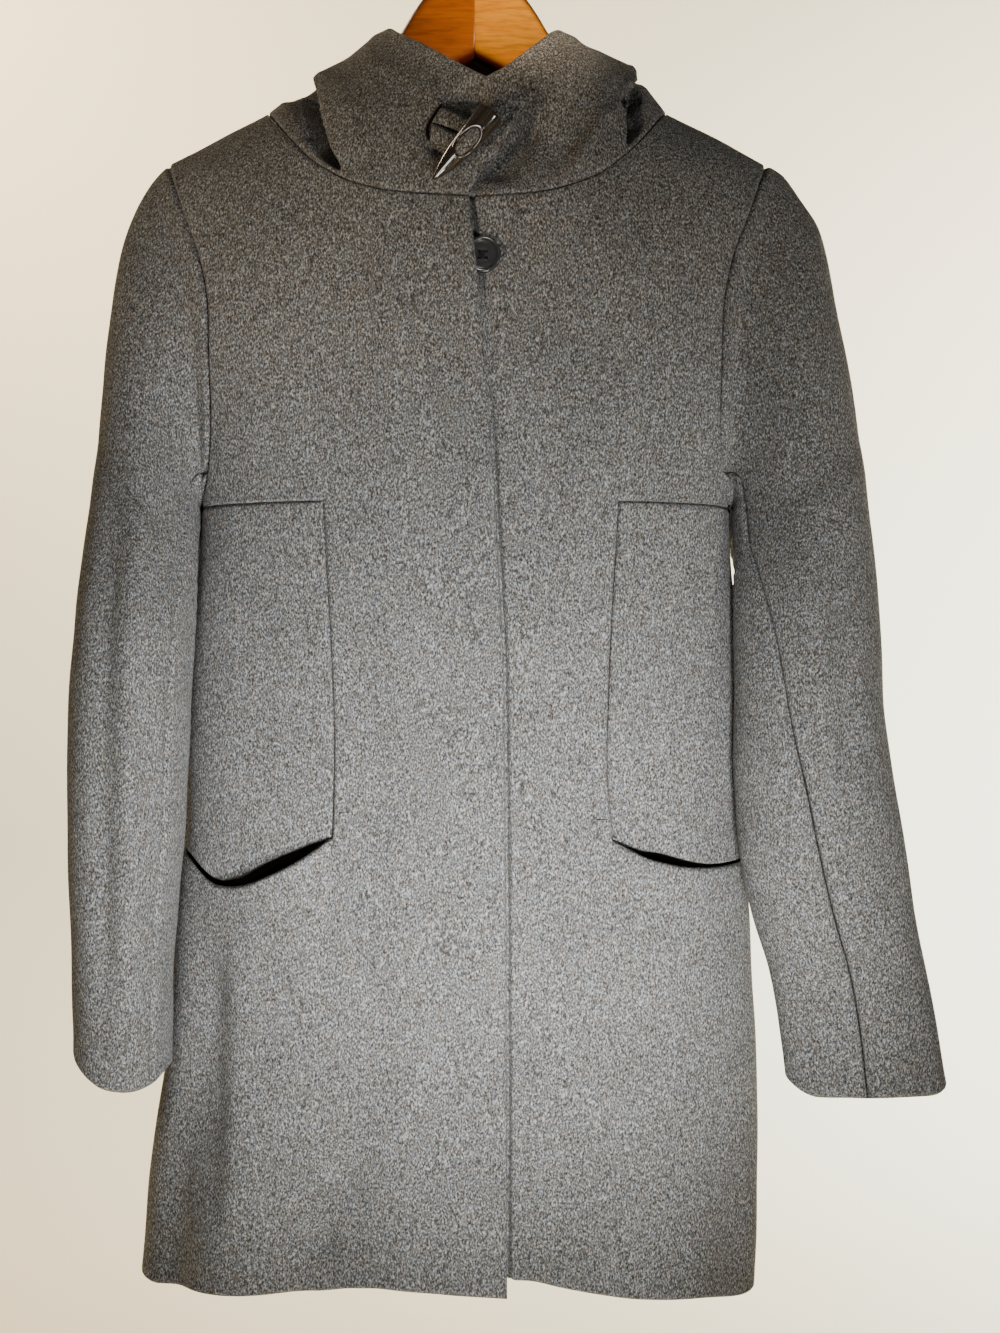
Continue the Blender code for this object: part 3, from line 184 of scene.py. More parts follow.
def body_point(angle, z):
    """Return the body's bare form: angle 0 is the centre front, a quarter turn the left side."""
    power = 2.0 / roundness(z)
    across, along = np.sin(angle), np.cos(angle)
    x = centre(z) + half_width(z) * np.sign(across) * np.abs(across) ** power
    depth = np.where(along > 0, front_depth(z), back_depth(z))
    drop = np.clip((ridge_z(x, z) - z) / SHOULDER_ROUND, 0.0, 1.0)
    y = -np.sign(along) * np.abs(along) ** power * depth * np.sqrt(1 - (1 - drop) ** 2)
    return np.stack([x, y, z + 0.0 * x], axis=-1)


def angle_at(x, z, behind=False):
    """Return the angle of a place given by its x and its level."""
    across = x - centre(z)
    angle = np.sign(across) * np.arcsin(np.minimum(np.abs(across) / half_width(z), 1.0) ** (roundness(z) / 2))
    return pi - angle if behind else angle


def body_normal(angle, z):
    """Return the outward direction of the body's bare form."""
    turn, step = 0.002, 0.0003
    around = body_point(angle + turn, z) - body_point(angle - turn, z)
    down = body_point(angle, z - step) - body_point(angle, z + step)
    normal = unit(np.cross(down, around))
    x = body_point(angle, z)[..., 0]
    top = np.stack([np.sign(x - centre(z)) * RIDGE_SLOPE, 0.0 * x, 0.0 * x + 1.0], axis=-1)
    return np.where((ridge_z(x, z) - z < RIDGE_BAND)[..., None], unit(top), normal)


# %% [markdown]
# The skirt hangs in a few wide folds, and one front laps over the other. Both are added to the bare form
# along its outward direction. So they can be changed without touching the cut of the pieces.

# %% The cloth on the body
def fold_rise(angle, z):
    """Return how far the large folds stand out at a place."""
    total = 0.0
    for middle, spread, rise, top, full in FOLDS:
        away = (np.degrees(angle) - middle + 180.0) % 360.0 - 180.0
        total = total + rise * np.exp(-(away / spread) ** 2) * ease(z, top, full)
    return total


def skin(angle, z, lift=0.0):
    """Return points of the cloth's outer face and their outward directions."""
    normal = body_normal(angle, z)
    rise = np.asarray(fold_rise(angle, z) + lift)[..., None]
    return body_point(angle, z) + normal * rise, normal


def front_lift(side, angle, z):
    """Return how far one front stands out to lap over the other, or hangs back below it."""
    x = body_point(angle, z)[..., 0]
    if side > 0:
        dip = EDGE_DIP * np.exp(-((x - front_edge(z) - EDGE_DIP_AT) / EDGE_DIP_SPREAD) ** 2)
        return -UNDER_SETBACK * (1.0 - ease(x, *SETBACK_X)) * ease(z, *SETBACK_Z) - dip
    inside = front_edge(z) - x
    lap = (CLOTH + LAYER_GAP) * (1.0 - ease(inside, UNDERLAP + LAP_START, UNDERLAP + LAP_FADE))
    away = np.hypot(x - BUTTON_PLACE[0], z - BUTTON_PLACE[1])
    return lap + BUTTON_RAISE * np.exp(-(away / BUTTON_SPREAD) ** 2)


print("body reaches y", np.round(body_point(np.array([0.0, pi]), np.array([-0.6, -0.6]))[:, 1], 4))

# %% [markdown]
# Every cloth piece is a grid of points turned into a mesh. Drawing each outline and filling it would leave
# uneven faces that shade badly. The rows and columns of a grid crowd together at the edges, where the form
# changes most.

# %% Grids
def crowd(start, end, count, pull=0.80):
    """Return positions from start to end that lie closer together near both ends."""
    t = np.linspace(0.0, 1.0, count + 1)
    return start + (end - start) * (t - pull * np.sin(2 * pi * t) / (2 * pi))


def grid_normals(points, flip):
    """Return the outward directions of a grid of points."""
    normal = unit(np.cross(np.gradient(points, axis=0), np.gradient(points, axis=1)))
    return -normal if flip else normal


def joined(*stretches):
    """Return positions along stretches that follow each other, each with its start, end, count and pull."""
    parts = [crowd(*stretch) for stretch in stretches]
    return np.concatenate([parts[0]] + [part[1:] for part in parts[1:]])


def grid_quads(index):
    """Return the four corners of each cell of a grid of vertex numbers."""
    return np.stack([index[:-1, :-1], index[1:, :-1], index[1:, 1:], index[:-1, 1:]], axis=-1)


# %% [markdown]
# A pressed seam or a turned hem has a soft edge. Bevel can't round the open edge of a sheet, so the points
# near it roll inwards by their distance from it. Solidify then gives the cloth its thickness on the inside,
# where a second material can be the lining.

# %% Cloth shells
ROLL_WIDTH, ROLL_DEPTH = 0.0028, 0.0022     # how wide and how deep an edge of cloth rolls inwards
pieces = {}


def mesh_piece(name, vertices, faces):
    """Make a mesh object in the scene."""
    data = bpy.data.meshes.new(name)
    data.from_pydata([tuple(v) for v in vertices], [], [tuple(f) for f in faces])
    data.shade_smooth()
    piece = bpy.data.objects.new(name, data)
    collection.objects.link(piece)
    pieces[name] = piece
    return piece


def rolled(vertices, faces, width, depth):
    """Return vertices with the open edges of a sheet rolled inwards."""
    flat = faces.reshape(-1, 4)
    ends = np.stack([flat, np.roll(flat, -1, axis=1)], axis=-1).reshape(-1, 2)
    key = np.sort(ends, axis=1) @ np.array([len(vertices), 1])
    values, counts = np.unique(key, return_counts=True)
    lone = values[counts == 1]
    rim = np.unique(np.concatenate([lone // len(vertices), lone % len(vertices)]))
    corners = vertices[flat]
    face_normals = np.cross(corners[:, 2] - corners[:, 0], corners[:, 3] - corners[:, 1])
    normals = np.zeros_like(vertices)
    for k in range(4):
        np.add.at(normals, flat[:, k], face_normals)
    normals = unit(normals)
    tree = KDTree(len(rim))
    for k, vertex in enumerate(rim):
        tree.insert(vertices[vertex], k)
    tree.balance()
    away = np.array([tree.find(v)[2] for v in vertices])
    share = np.clip(1.0 - away / width, 0.0, 1.0)
    return vertices - normals * (depth * share ** 2)[:, None]


def cloth(name, points, kept=None, flip=False, thickness=CLOTH, roll=ROLL_DEPTH, width=ROLL_WIDTH):
    """Make a shell of cloth from a grid of points of its outer face."""
    rows, columns = points.shape[:2]
    quads = grid_quads(np.arange(rows * columns).reshape(rows, columns))
    quads = quads[..., ::-1] if flip else quads
    quads = quads[kept] if kept is not None else quads.reshape(-1, 4)
    used, faces = np.unique(quads, return_inverse=True)
    faces = faces.reshape(-1, 4)
    vertices = rolled(points.reshape(-1, 3)[used], faces, width, roll)
    piece = mesh_piece(name, vertices, faces)
    shell = piece.modifiers.new("thickness", "SOLIDIFY")
    shell.thickness = thickness
    shell.offset = -1.0
    shell.material_offset = 1
    print(name, len(faces), "faces")
    return piece


# %% [markdown]
# The front starts at the neckline and the shoulder seam, runs down round the armhole and ends at the hem.
# Above the underarm its grid is a patch stretched between four edge curves. Below, each row follows the
# curved pocket mouth more and more, so the opening for the side panel is simply a block of cells that is left
# out.

# %% Lines across the fronts and the back
ROW_CROWDING, NECK_CROWDING = 0.55, 1.25
STRIP_COLUMNS, NECK_COLUMNS, FRONT_COLUMNS = 6.0, 9.0, 13.0
NECK_FIRST_Z = FRONT_NECK[0][1]


def front_edge_x(side, z):
    """Return x of a front's free edge."""
    return front_edge(z) - (UNDERLAP if side > 0 else 0.0)


def armhole_level(side):
    """Return the level of a place on the armhole, from 0 at the shoulder to 1 at the underarm."""
    z = np.linspace(SHOULDER_TIP_Z, UNDERARM_Z, 400)
    points = body_point(angle_at(centre(z) + side * armhole_x(z), z), z)
    way = np.concatenate([[0.0], np.cumsum(np.linalg.norm(np.diff(points, axis=0), axis=1))])

    def at(share):
        target = way[-1] * (share - ROW_CROWDING * np.sin(2 * pi * share) / (2 * pi))
        return np.interp(target, way, z)
    return at


def front_top(side, column):
    """Return angle and level along the neckline and the shoulder seam of a front."""
    start = side * (front_edge_x(side, NECK_FIRST_Z) - centre(NECK_FIRST_Z))
    share = 1.0 - (1.0 - np.minimum(column / NECK_COLUMNS, 1.0)) ** NECK_CROWDING
    shoulder = np.maximum(column - NECK_COLUMNS, 0.0) / (FRONT_COLUMNS - NECK_COLUMNS)
    across = start + (NECK_POINT - start) * share + (SHOULDER_TIP - NECK_POINT) * shoulder
    ridge = NECK_POINT_Z - RIDGE_SLOPE * (across - NECK_POINT)
    z = np.where(column < NECK_COLUMNS, front_neck_z(np.abs(across)), ridge)
    return angle_at(centre(z) + side * across, z), z


def front_rows(side, column, level):
    """Return angles and levels of rows across a front; level gives z for a share of the way to the side seam."""
    share = np.maximum(column - STRIP_COLUMNS, 0.0) / (FRONT_COLUMNS - STRIP_COLUMNS)
    z = level(share[None, :])
    first = z[:, :1]
    start = angle_at(front_edge_x(side, first), first)
    seam = angle_at(centre(first) + side * panel_seam[side](first), first)
    strip = np.minimum(column / STRIP_COLUMNS, 1.0)[None, :]
    return start + (seam - start) * strip + (side * pi / 2 - seam) * share[None, :], z


def patch(top, bottom, first, last, across, down):
    """Fill a four-sided patch between its edges, for angle and level at once."""
    u, v = across[None, :], down[:, None]
    grids = []
    for k in (0, 1):
        t, b, f, l = top[k][None, :], bottom[k][None, :], first[k][:, None], last[k][:, None]
        grids.append((1 - v) * t + v * b + (1 - u) * f + u * l - (1 - u) * (1 - v) * t[0, 0]
                     - u * (1 - v) * t[0, -1] - (1 - u) * v * b[0, 0] - u * v * b[0, -1])
    return grids


def hem_level(side, share):
    """Return the hem's level; the left front is shorter at the centre."""
    return HEM_Z + (UNDER_SHORT * (1.0 - share) if side > 0 else 0.0 * share)


# %% [markdown]
# Hanging wool is never quite even. A cloth simulation would make folds, but not those in the picture. So a
# few waves of a third of a millimetre give the unevenness, and each main crease is a stroke given in a table.

# %% Soft unevenness and creases of hanging cloth
WAVE_TURNS = ((17.0, 5.0, 0.3), (29.0, 9.0, 1.7), (11.0, 13.0, 4.1), (43.0, 3.0, 2.2), (37.0, 19.0, 5.3))
WAVE_HEIGHT, WAVE_LEAN = 0.00035, 0.7
CREASE_FADES = (-0.15, 0.25), (0.75, 1.15)    # shares of a stroke over which it begins and ends


def uneven(points):
    """Return a soft unevenness of cloth, longer down the coat than across it."""
    x, y, z = points[..., 0], points[..., 1], points[..., 2]
    total = 0.0
    for across, down, start in WAVE_TURNS:
        wave = np.sin(across * (x + WAVE_LEAN * y) * 2 + down * z * 2 + start)
        total = total + wave * np.cos(down * z * 3 + across * x)
    return WAVE_HEIGHT * total


def creases(points, table):
    """Return the rise of creases, each a stroke in the front view: x and z of both ends, half width, rise."""
    x, z = points[..., 0], points[..., 2]
    total = np.zeros_like(x)
    for x0, z0, x1, z1, width, rise in table:
        way = np.array([x1 - x0, z1 - z0])
        length = np.hypot(*way)
        along = ((x - x0) * way[0] + (z - z0) * way[1]) / length ** 2
        aside = ((x - x0) * way[1] - (z - z0) * way[0]) / length
        ends = ease(along, *CREASE_FADES[0]) * (1.0 - ease(along, *CREASE_FADES[1]))
        total += rise * np.exp(-(aside / width) ** 2) * ends
    return total


# %% [markdown]
# The coat closes with a hidden row of buttons: the right front laps over the left one. A groove in the left
# front lets the lapping edge show as a dark line, as thick wool does. The fronts also sink a little along the
# armholes, for the same reason.

# %% Tables of the fronts
CHEST_STEPS, PANEL_STEPS, SKIRT_STEPS = 64, 44, 58
ARMHOLE_DIP, ARMHOLE_DIP_WIDTH = 0.0034, 0.0026     # the fronts sink along the armhole's lower part
ARMHOLE_DIP_STARTS, ARMHOLE_DIP_ENDS = (0.30, 0.50), (1.0, 0.96)
chest_rows = crowd(0.0, 1.0, CHEST_STEPS)
panel_rows = crowd(0.0, 1.0, PANEL_STEPS)
skirt_rows = crowd(0.0, 1.0, SKIRT_STEPS)
STRIP_STEPS, SIDE_STEPS = 36, 42
GROOVE_COLUMNS = np.linspace(1.9, 2.8, 46)          # the under front has close columns along the groove
plain_columns = joined((0.0, STRIP_COLUMNS, STRIP_STEPS), (STRIP_COLUMNS, FRONT_COLUMNS, SIDE_STEPS))
front_columns = {-1: plain_columns, 1: np.union1d(plain_columns, GROOVE_COLUMNS)}
print("columns of the right and the left front:", len(front_columns[-1]), len(front_columns[1]))
FRONT_CREASES = {  # strokes in the front view: x, z, x, z, half width, rise
    -1: ((-0.087, -0.855, -0.080, -0.900, 0.014, -0.0050), (-0.106, -0.910, -0.092, -0.928, 0.012, -0.0045),
         (-0.156, -0.720, -0.157, -0.910, 0.010, 0.0040), (-0.176, -0.720, -0.174, -0.905, 0.014, -0.0060)),
    1: ((0.110, -0.80, 0.150, -0.78, 0.020, -0.0015), (0.050, -0.86, 0.060, -0.94, 0.020, -0.0020)),
}
HEM_SWAY = {  # x, how far the hem hangs higher there
    -1: ((-0.215, -0.0030), (-0.177, 0.0000), (-0.105, 0.0004), (-0.080, 0.0050), (-0.058, 0.0070),
         (-0.035, 0.0062), (-0.010, 0.0042), (0.022, 0.0024)),
    1: ((-0.040, 0.0020), (0.035, 0.0020), (0.057, -0.0012), (0.095, -0.0045), (0.125, -0.0078),
        (0.155, -0.0105), (0.178, -0.0150), (0.200, -0.0150)),
}
HEM_SWAY_FROM = -0.78       # level below which the hem's sway pulls the skirt along


# %% [markdown]
# A front is one grid from the shoulder to the hem. The cells where the side panel is set in are left out,
# which keeps the strip, the chest and the skirt in one piece, as they are cut.

# %% The two fronts
def panel_level(side, down):
    """Return levels from the panel's top seam to the pocket mouth."""
    return lambda share: UNDERARM_Z + (mouth_z[side](share) - UNDERARM_Z) * down[:, None]


def skirt_level(side, down):
    """Return levels from the pocket mouth to the hem."""
    return lambda share: mouth_z[side](share) * (1.0 - down[:, None]) + hem_level(side, share) * down[:, None]


def armhole_edge(side, behind=False):
    """Return angle and level where the rows of a front or of the back end at an armhole."""
    z = armhole_level(side)(chest_rows)
    return angle_at(centre(z) + side * armhole_x(z), z, behind), z


def front_grid(side):
    """Return the points of a front, and which of its cells are cloth."""
    c = front_columns[side]
    top = front_top(side, c)
    bottom = [grid[0] for grid in front_rows(side, c, lambda share: UNDERARM_Z + 0.0 * share)]
    edge_z = top[1][0] + (UNDERARM_Z - top[1][0]) * chest_rows
    first = (angle_at(front_edge_x(side, edge_z), edge_z), edge_z)
    chest = patch(top, bottom, first, armhole_edge(side), c / FRONT_COLUMNS, chest_rows)
    panel = front_rows(side, c, panel_level(side, panel_rows[1:]))
    skirt = front_rows(side, c, skirt_level(side, skirt_rows[1:]))
    angle = np.concatenate([chest[0], panel[0], skirt[0]])
    z = np.concatenate([chest[1], panel[1], skirt[1]])
    down = np.concatenate([np.full(CHEST_STEPS + PANEL_STEPS, -1.0), skirt_rows])
    share = np.maximum(c - STRIP_COLUMNS, 0.0) / (FRONT_COLUMNS - STRIP_COLUMNS)
    fade = np.where(down < 0, 0.0, np.maximum(1.0 - down / GAPE_FADE, 0.0) ** 2)
    gape = MOUTH_GAPE[side] * GAPE_PEAK * (share * (1.0 - share) ** 5)[None, :] * fade[:, None]
    points, normals = skin(angle, z, front_lift(side, angle, z) + gape)
    rise = uneven(points) + creases(points, FRONT_CREASES[side])
    from_armhole = np.linalg.norm(points - points[:, -1:], axis=-1)[:CHEST_STEPS]
    down = chest_rows[:CHEST_STEPS, None]
    sunk = ARMHOLE_DIP * ease(down, *ARMHOLE_DIP_STARTS) * ease(down, *ARMHOLE_DIP_ENDS)
    rise[:CHEST_STEPS] -= sunk * np.exp(-(from_armhole / ARMHOLE_DIP_WIDTH) ** 2)
    points = points + normals * rise[..., None]
    sway, = columns_of(HEM_SWAY[side])
    points[..., 2] += sway(points[..., 0]) * ease(points[..., 2], HEM_SWAY_FROM, HEM_Z)
    row, column = np.arange(len(z) - 1)[:, None], c[None, :-1]
    hole = (row >= CHEST_STEPS) & (row < CHEST_STEPS + PANEL_STEPS) & (column >= STRIP_COLUMNS - 1e-6)
    return points, ~hole


for side in (-1, 1):
    points, kept = front_grid(side)
    cloth("front_" + SIDE_NAME[side] + "_cloth", points, kept, flip=side < 0)

# %% [markdown]
# The side panel fills the opening in the front. Its lower edge turns in above the pocket mouth and runs on as
# the back of the pocket, so the gap that shows there is a real gap between two layers. Below a few turned-in
# rows of wool the pocket's back takes the black lining material: painted shade, which keeps the gap black
# however the lamps fall.

# %% Side panels
PANEL_DIP = 0.55            # share of the panel's height below which it sinks behind the mouth
POCKET_SINK = 0.0110        # how far the pocket's back lies behind the panel
POCKET_TURN = 3             # rows of wool that turn in at the panel's lower edge
MOUTH_GAP = (  # share of the way to the side, height of the gap on the right and on the left
    (0.00, 0.0000, 0.0000), (0.022, 0.0026, 0.0010), (0.05, 0.0062, 0.0022), (0.10, 0.0096, 0.0040),
    (0.20, 0.0114, 0.0064), (0.26, 0.0108, 0.0058), (0.37, 0.0050, 0.0032), (0.50, 0.0022, 0.0018),
    (1.00, 0.0026, 0.0018))
mouth_gap = dict(zip((-1, 1), columns_of(MOUTH_GAP)))
PANEL_COLUMNS, POCKET_STEPS, POCKET_SUNK = 56, 24, 0.6
panel_columns = crowd(STRIP_COLUMNS, FRONT_COLUMNS, PANEL_COLUMNS)
pocket_rows = np.linspace(0.0, 1.0, POCKET_STEPS + 1)[1:]
for side in (-1, 1):
    def lower_edge(share):
        return mouth_z[side](share) + mouth_gap[side](share)
    upper = front_rows(side, panel_columns,
                       lambda share: UNDERARM_Z + (lower_edge(share) - UNDERARM_Z) * panel_rows[:, None])
    lower = front_rows(side, panel_columns,
                       lambda share: lower_edge(share) - POCKET_DEPTH * pocket_rows[:, None] ** 2)
    angle, z = np.concatenate([upper[0], lower[0]]), np.concatenate([upper[1], lower[1]])
    dip = (CLOTH + LAYER_GAP) * ease(np.concatenate([panel_rows, 1.0 + 0.0 * pocket_rows]), PANEL_DIP, 1.0)
    sink = POCKET_SINK * np.concatenate([0.0 * panel_rows, np.sqrt(ease(pocket_rows, 0.0, POCKET_SUNK))])
    points, normals = skin(angle, z, front_lift(side, angle, z) - (dip + sink)[:, None])
    points = points + normals * uneven(points)[..., None]
    panel = cloth("side_panel_" + SIDE_NAME[side] + "_cloth", points, flip=side < 0)
    # past these faces the pocket's back is black lining: painted shade inside the mouth
    dark = (PANEL_STEPS + POCKET_TURN) * (len(panel_columns) - 1)
    painted_pocket_shade = np.arange(len(panel.data.polygons)) >= dark
    panel.data.polygons.foreach_set("material_index", painted_pocket_shade.astype(int))

# %% [markdown]
# The back is one piece with its own hanging folds. It is not in the picture, so it keeps to what the cut asks
# for.

# %% Back
BACK_STEPS = 132
BACK_NECK_SHARES = (0.0, 0.2, 0.8, 1.0)     # the ends of both shoulder seams, from left to right
back_share = crowd(0.0, 1.0, BACK_STEPS)


def back_top(share):
    """Return angle and level along the back's shoulder seams and neckline, from left to right."""
    across = np.interp(share, BACK_NECK_SHARES, (SHOULDER_TIP, NECK_POINT, -NECK_POINT, -SHOULDER_TIP))
    ridge = NECK_POINT_Z - RIDGE_SLOPE * (np.abs(across) - NECK_POINT)
    z = np.where(np.abs(across) < NECK_POINT, back_neck_z(np.abs(across)), ridge)
    return angle_at(centre(z) + across, z, True), z


def back_grid():
    """Return the points of the back."""
    edges = [armhole_edge(side, True) for side in (1, -1)]
    around = pi / 2 + pi * back_share
    chest = patch(back_top(back_share), (around, UNDERARM_Z + 0.0 * around), *edges, back_share, chest_rows)
    mouth = MOUTH[-1][1]
    levels = np.concatenate([UNDERARM_Z + (mouth - UNDERARM_Z) * panel_rows[1:],
                             mouth + (HEM_Z - mouth) * skirt_rows[1:]])
    angle = np.concatenate([chest[0], np.broadcast_to(around, (len(levels), len(around)))])
    z = np.concatenate([chest[1], np.broadcast_to(levels[:, None], (len(levels), len(around)))])
    points, normals = skin(angle, z)
    return points + normals * uneven(points)[..., None]


cloth("back_cloth", back_grid())

# %% [markdown]
# A sleeve starts as the armhole's own curve and becomes an oval tube. The table gives the outer and the inner
# line of the arm as seen from the front. Two seams cut the tube into a top sleeve and an under sleeve, as on
# a tailored coat.

# %% Sleeve tables
SLEEVES = {  # x_out, z_out, x_in, z_in, y of the middle, half depth
    1: ((0.2130, -0.1990, 0.1790, -0.4322, 0.004, 0.046), (0.2274, -0.2180, 0.1780, -0.4340, 0.003, 0.048),
        (0.2390, -0.2370, 0.1770, -0.4370, 0.002, 0.050), (0.2452, -0.2600, 0.1760, -0.4410, 0.001, 0.051),
        (0.2515, -0.2930, 0.1755, -0.4460, -0.001, 0.052), (0.2590, -0.3330, 0.1750, -0.4520, -0.003, 0.053),
        (0.2654, -0.3760, 0.1745, -0.4600, -0.007, 0.053), (0.2692, -0.4180, 0.1740, -0.4720, -0.013, 0.052),
        (0.2715, -0.4620, 0.1740, -0.4900, -0.022, 0.051), (0.2738, -0.5080, 0.1745, -0.5200, -0.032, 0.050),
        (0.2745, -0.5570, 0.1755, -0.5600, -0.039, 0.048), (0.2790, -0.6020, 0.1745, -0.6020, -0.041, 0.046),
        (0.2864, -0.6500, 0.1760, -0.6500, -0.042, 0.043), (0.2946, -0.7040, 0.1860, -0.7040, -0.042, 0.037),
        (0.3036, -0.7460, 0.1985, -0.7460, -0.041, 0.031), (0.3121, -0.7870, 0.2065, -0.7870, -0.040, 0.026),
        (0.3190, -0.8265, 0.2105, -0.8265, -0.040, 0.024)),
    -1: ((0.2235, -0.2050, 0.1900, -0.4322, 0.004, 0.046), (0.2352, -0.2260, 0.1895, -0.4340, 0.003, 0.048),
         (0.2440, -0.2480, 0.1890, -0.4370, 0.001, 0.049), (0.2485, -0.2720, 0.1885, -0.4410, -0.001, 0.050),
         (0.2530, -0.3070, 0.1880, -0.4460, -0.004, 0.051), (0.2561, -0.3400, 0.1875, -0.4520, -0.008, 0.052),
         (0.2590, -0.3800, 0.1870, -0.4600, -0.013, 0.053), (0.2604, -0.4280, 0.1865, -0.4740, -0.021, 0.053),
         (0.2638, -0.4680, 0.1865, -0.4920, -0.030, 0.053), (0.2660, -0.5080, 0.1880, -0.5200, -0.040, 0.053),
         (0.2676, -0.5530, 0.1895, -0.5600, -0.047, 0.053), (0.2692, -0.6020, 0.1910, -0.6020, -0.050, 0.052),
         (0.2688, -0.6500, 0.1928, -0.6500, -0.051, 0.051), (0.2674, -0.7040, 0.1985, -0.7040, -0.051, 0.051),
         (0.2660, -0.7460, 0.2010, -0.7460, -0.051, 0.050), (0.2652, -0.7820, 0.2015, -0.7820, -0.051, 0.050),
         (0.2645, -0.8120, 0.2018, -0.8120, -0.051, 0.050)),
}
ROUND_SHARES = (0.0, 0.12, 0.28, 0.45, 0.60, 0.74, 0.86, 0.94) + 10 * (1.0,)    # how round the section is
SEAM_TURN = {  # z, turn of the front seam, turn of the back seam
    1: ((-0.830, 0.263, 0.720), (-0.746, 0.261, 0.713), (-0.685, 0.269, 0.709), (-0.623, 0.287, 0.705),
        (-0.568, 0.322, 0.702), (-0.515, 0.349, 0.700), (-0.432, 0.400, 0.700)),
    -1: ((-0.830, 0.400, 0.720), (-0.700, 0.400, 0.710), (-0.530, 0.400, 0.700), (-0.432, 0.400, 0.700)),
}
SLEEVE_CLEAR, CLEAR_FADE = 0.0045, 0.045            # how far a sleeve keeps off the body below the underarm
HALF_LOOP, FRONT_SEAM, BACK_SEAM = 13.0, 10.0, 18.0     # places round the armhole: underarm and the two seams
NEARLY_ROUND, LEAST_REACH = 0.94, 0.1
SLEEVE_STEPS, RING_PULL, SMOOTH_RINGS = 150, 0.55, 2.0
TOP_STEPS, UNDER_STEPS, PLACE_PULL = (30, 36), 40, 0.4
SLEEVE_ROLL, SLEEVE_ROLL_WIDTH = 0.0034, 0.0040      # the sleeves' edges sink deeper at the seams
SLEEVE_CREASES = {  # strokes in the front view: x, z, x, z, half width, rise
    -1: ((-0.2205, -0.38, -0.2190, -0.79, 0.009, 0.0050), (-0.2370, -0.43, -0.2350, -0.79, 0.011, -0.0055),
         (-0.2080, -0.52, -0.2150, -0.60, 0.012, -0.0018)),
    1: ((0.2120, -0.45, 0.2320, -0.61, 0.012, 0.0035), (0.2390, -0.48, 0.2430, -0.62, 0.010, -0.0040),
        (0.1850, -0.48, 0.1960, -0.60, 0.012, -0.0020), (0.2150, -0.56, 0.2500, -0.60, 0.010, -0.0012)),
}
CUFF_SWAY = {  # x, how far the cuff's edge hangs higher there
    -1: ((-0.2680, 0.0190), (-0.2620, 0.0145), (-0.2540, 0.0085), (-0.2394, 0.0010), (-0.2294, -0.0015),
         (-0.2161, -0.0030), (-0.2068, -0.0015), (-0.2000, 0.0060)),
    1: ((0.2080, 0.0085), (0.2160, 0.0020), (0.2270, -0.0010), (0.2500, 0.0), (0.3050, 0.0), (0.3150, 0.0010),
        (0.3230, 0.0050)),
}
CUFF_Z = {side: SLEEVES[side][-1][1] for side in SLEEVES}
CUFF_SWAY_OVER = 0.050      # height over which the cuff's sway pulls the sleeve along
print("sleeves of", len(SLEEVES[1]), "sections")


# %% [markdown]
# Each ring of a sleeve lies between the armhole's loop and an oval. Sweeping one section along a curve would
# be shorter, but it could not start as the armhole. Below the underarm the points keep clear of the body, and
# the cuff's edge sways as in the picture.

# %% Sleeves
def clear_of_body(points):
    """Move a sleeve's points out of the body's side where they lie in it."""
    x, y, z = points[..., 0], points[..., 1], points[..., 2]
    keep = SLEEVE_CLEAR * ease(z, UNDERARM_Z, UNDERARM_Z - CLEAR_FADE)
    n = roundness(z)
    depth = np.where(y < 0, front_depth(z), back_depth(z))
    reach = (np.abs((x - centre(z)) / (half_width(z) + keep)) ** n + np.abs(y / (depth + keep)) ** n) ** (1.0 / n)
    reach = np.where((z > UNDERARM_Z) | (reach >= 1.0), 1.0, np.maximum(reach, LEAST_REACH))
    return np.stack([centre(z) + (x - centre(z)) / reach, y / reach, z], axis=-1)


def armhole_loop(side, place):
    """Return points round the armhole: down its front to the underarm and up its back."""
    z = armhole_level(side)(np.where(place <= HALF_LOOP, place, 2 * HALF_LOOP - place) / HALF_LOOP)
    x = centre(z) + side * armhole_x(z)
    angle = np.where(place <= HALF_LOOP, angle_at(x, z), angle_at(x, z, True))
    return skin(angle, z)[0]


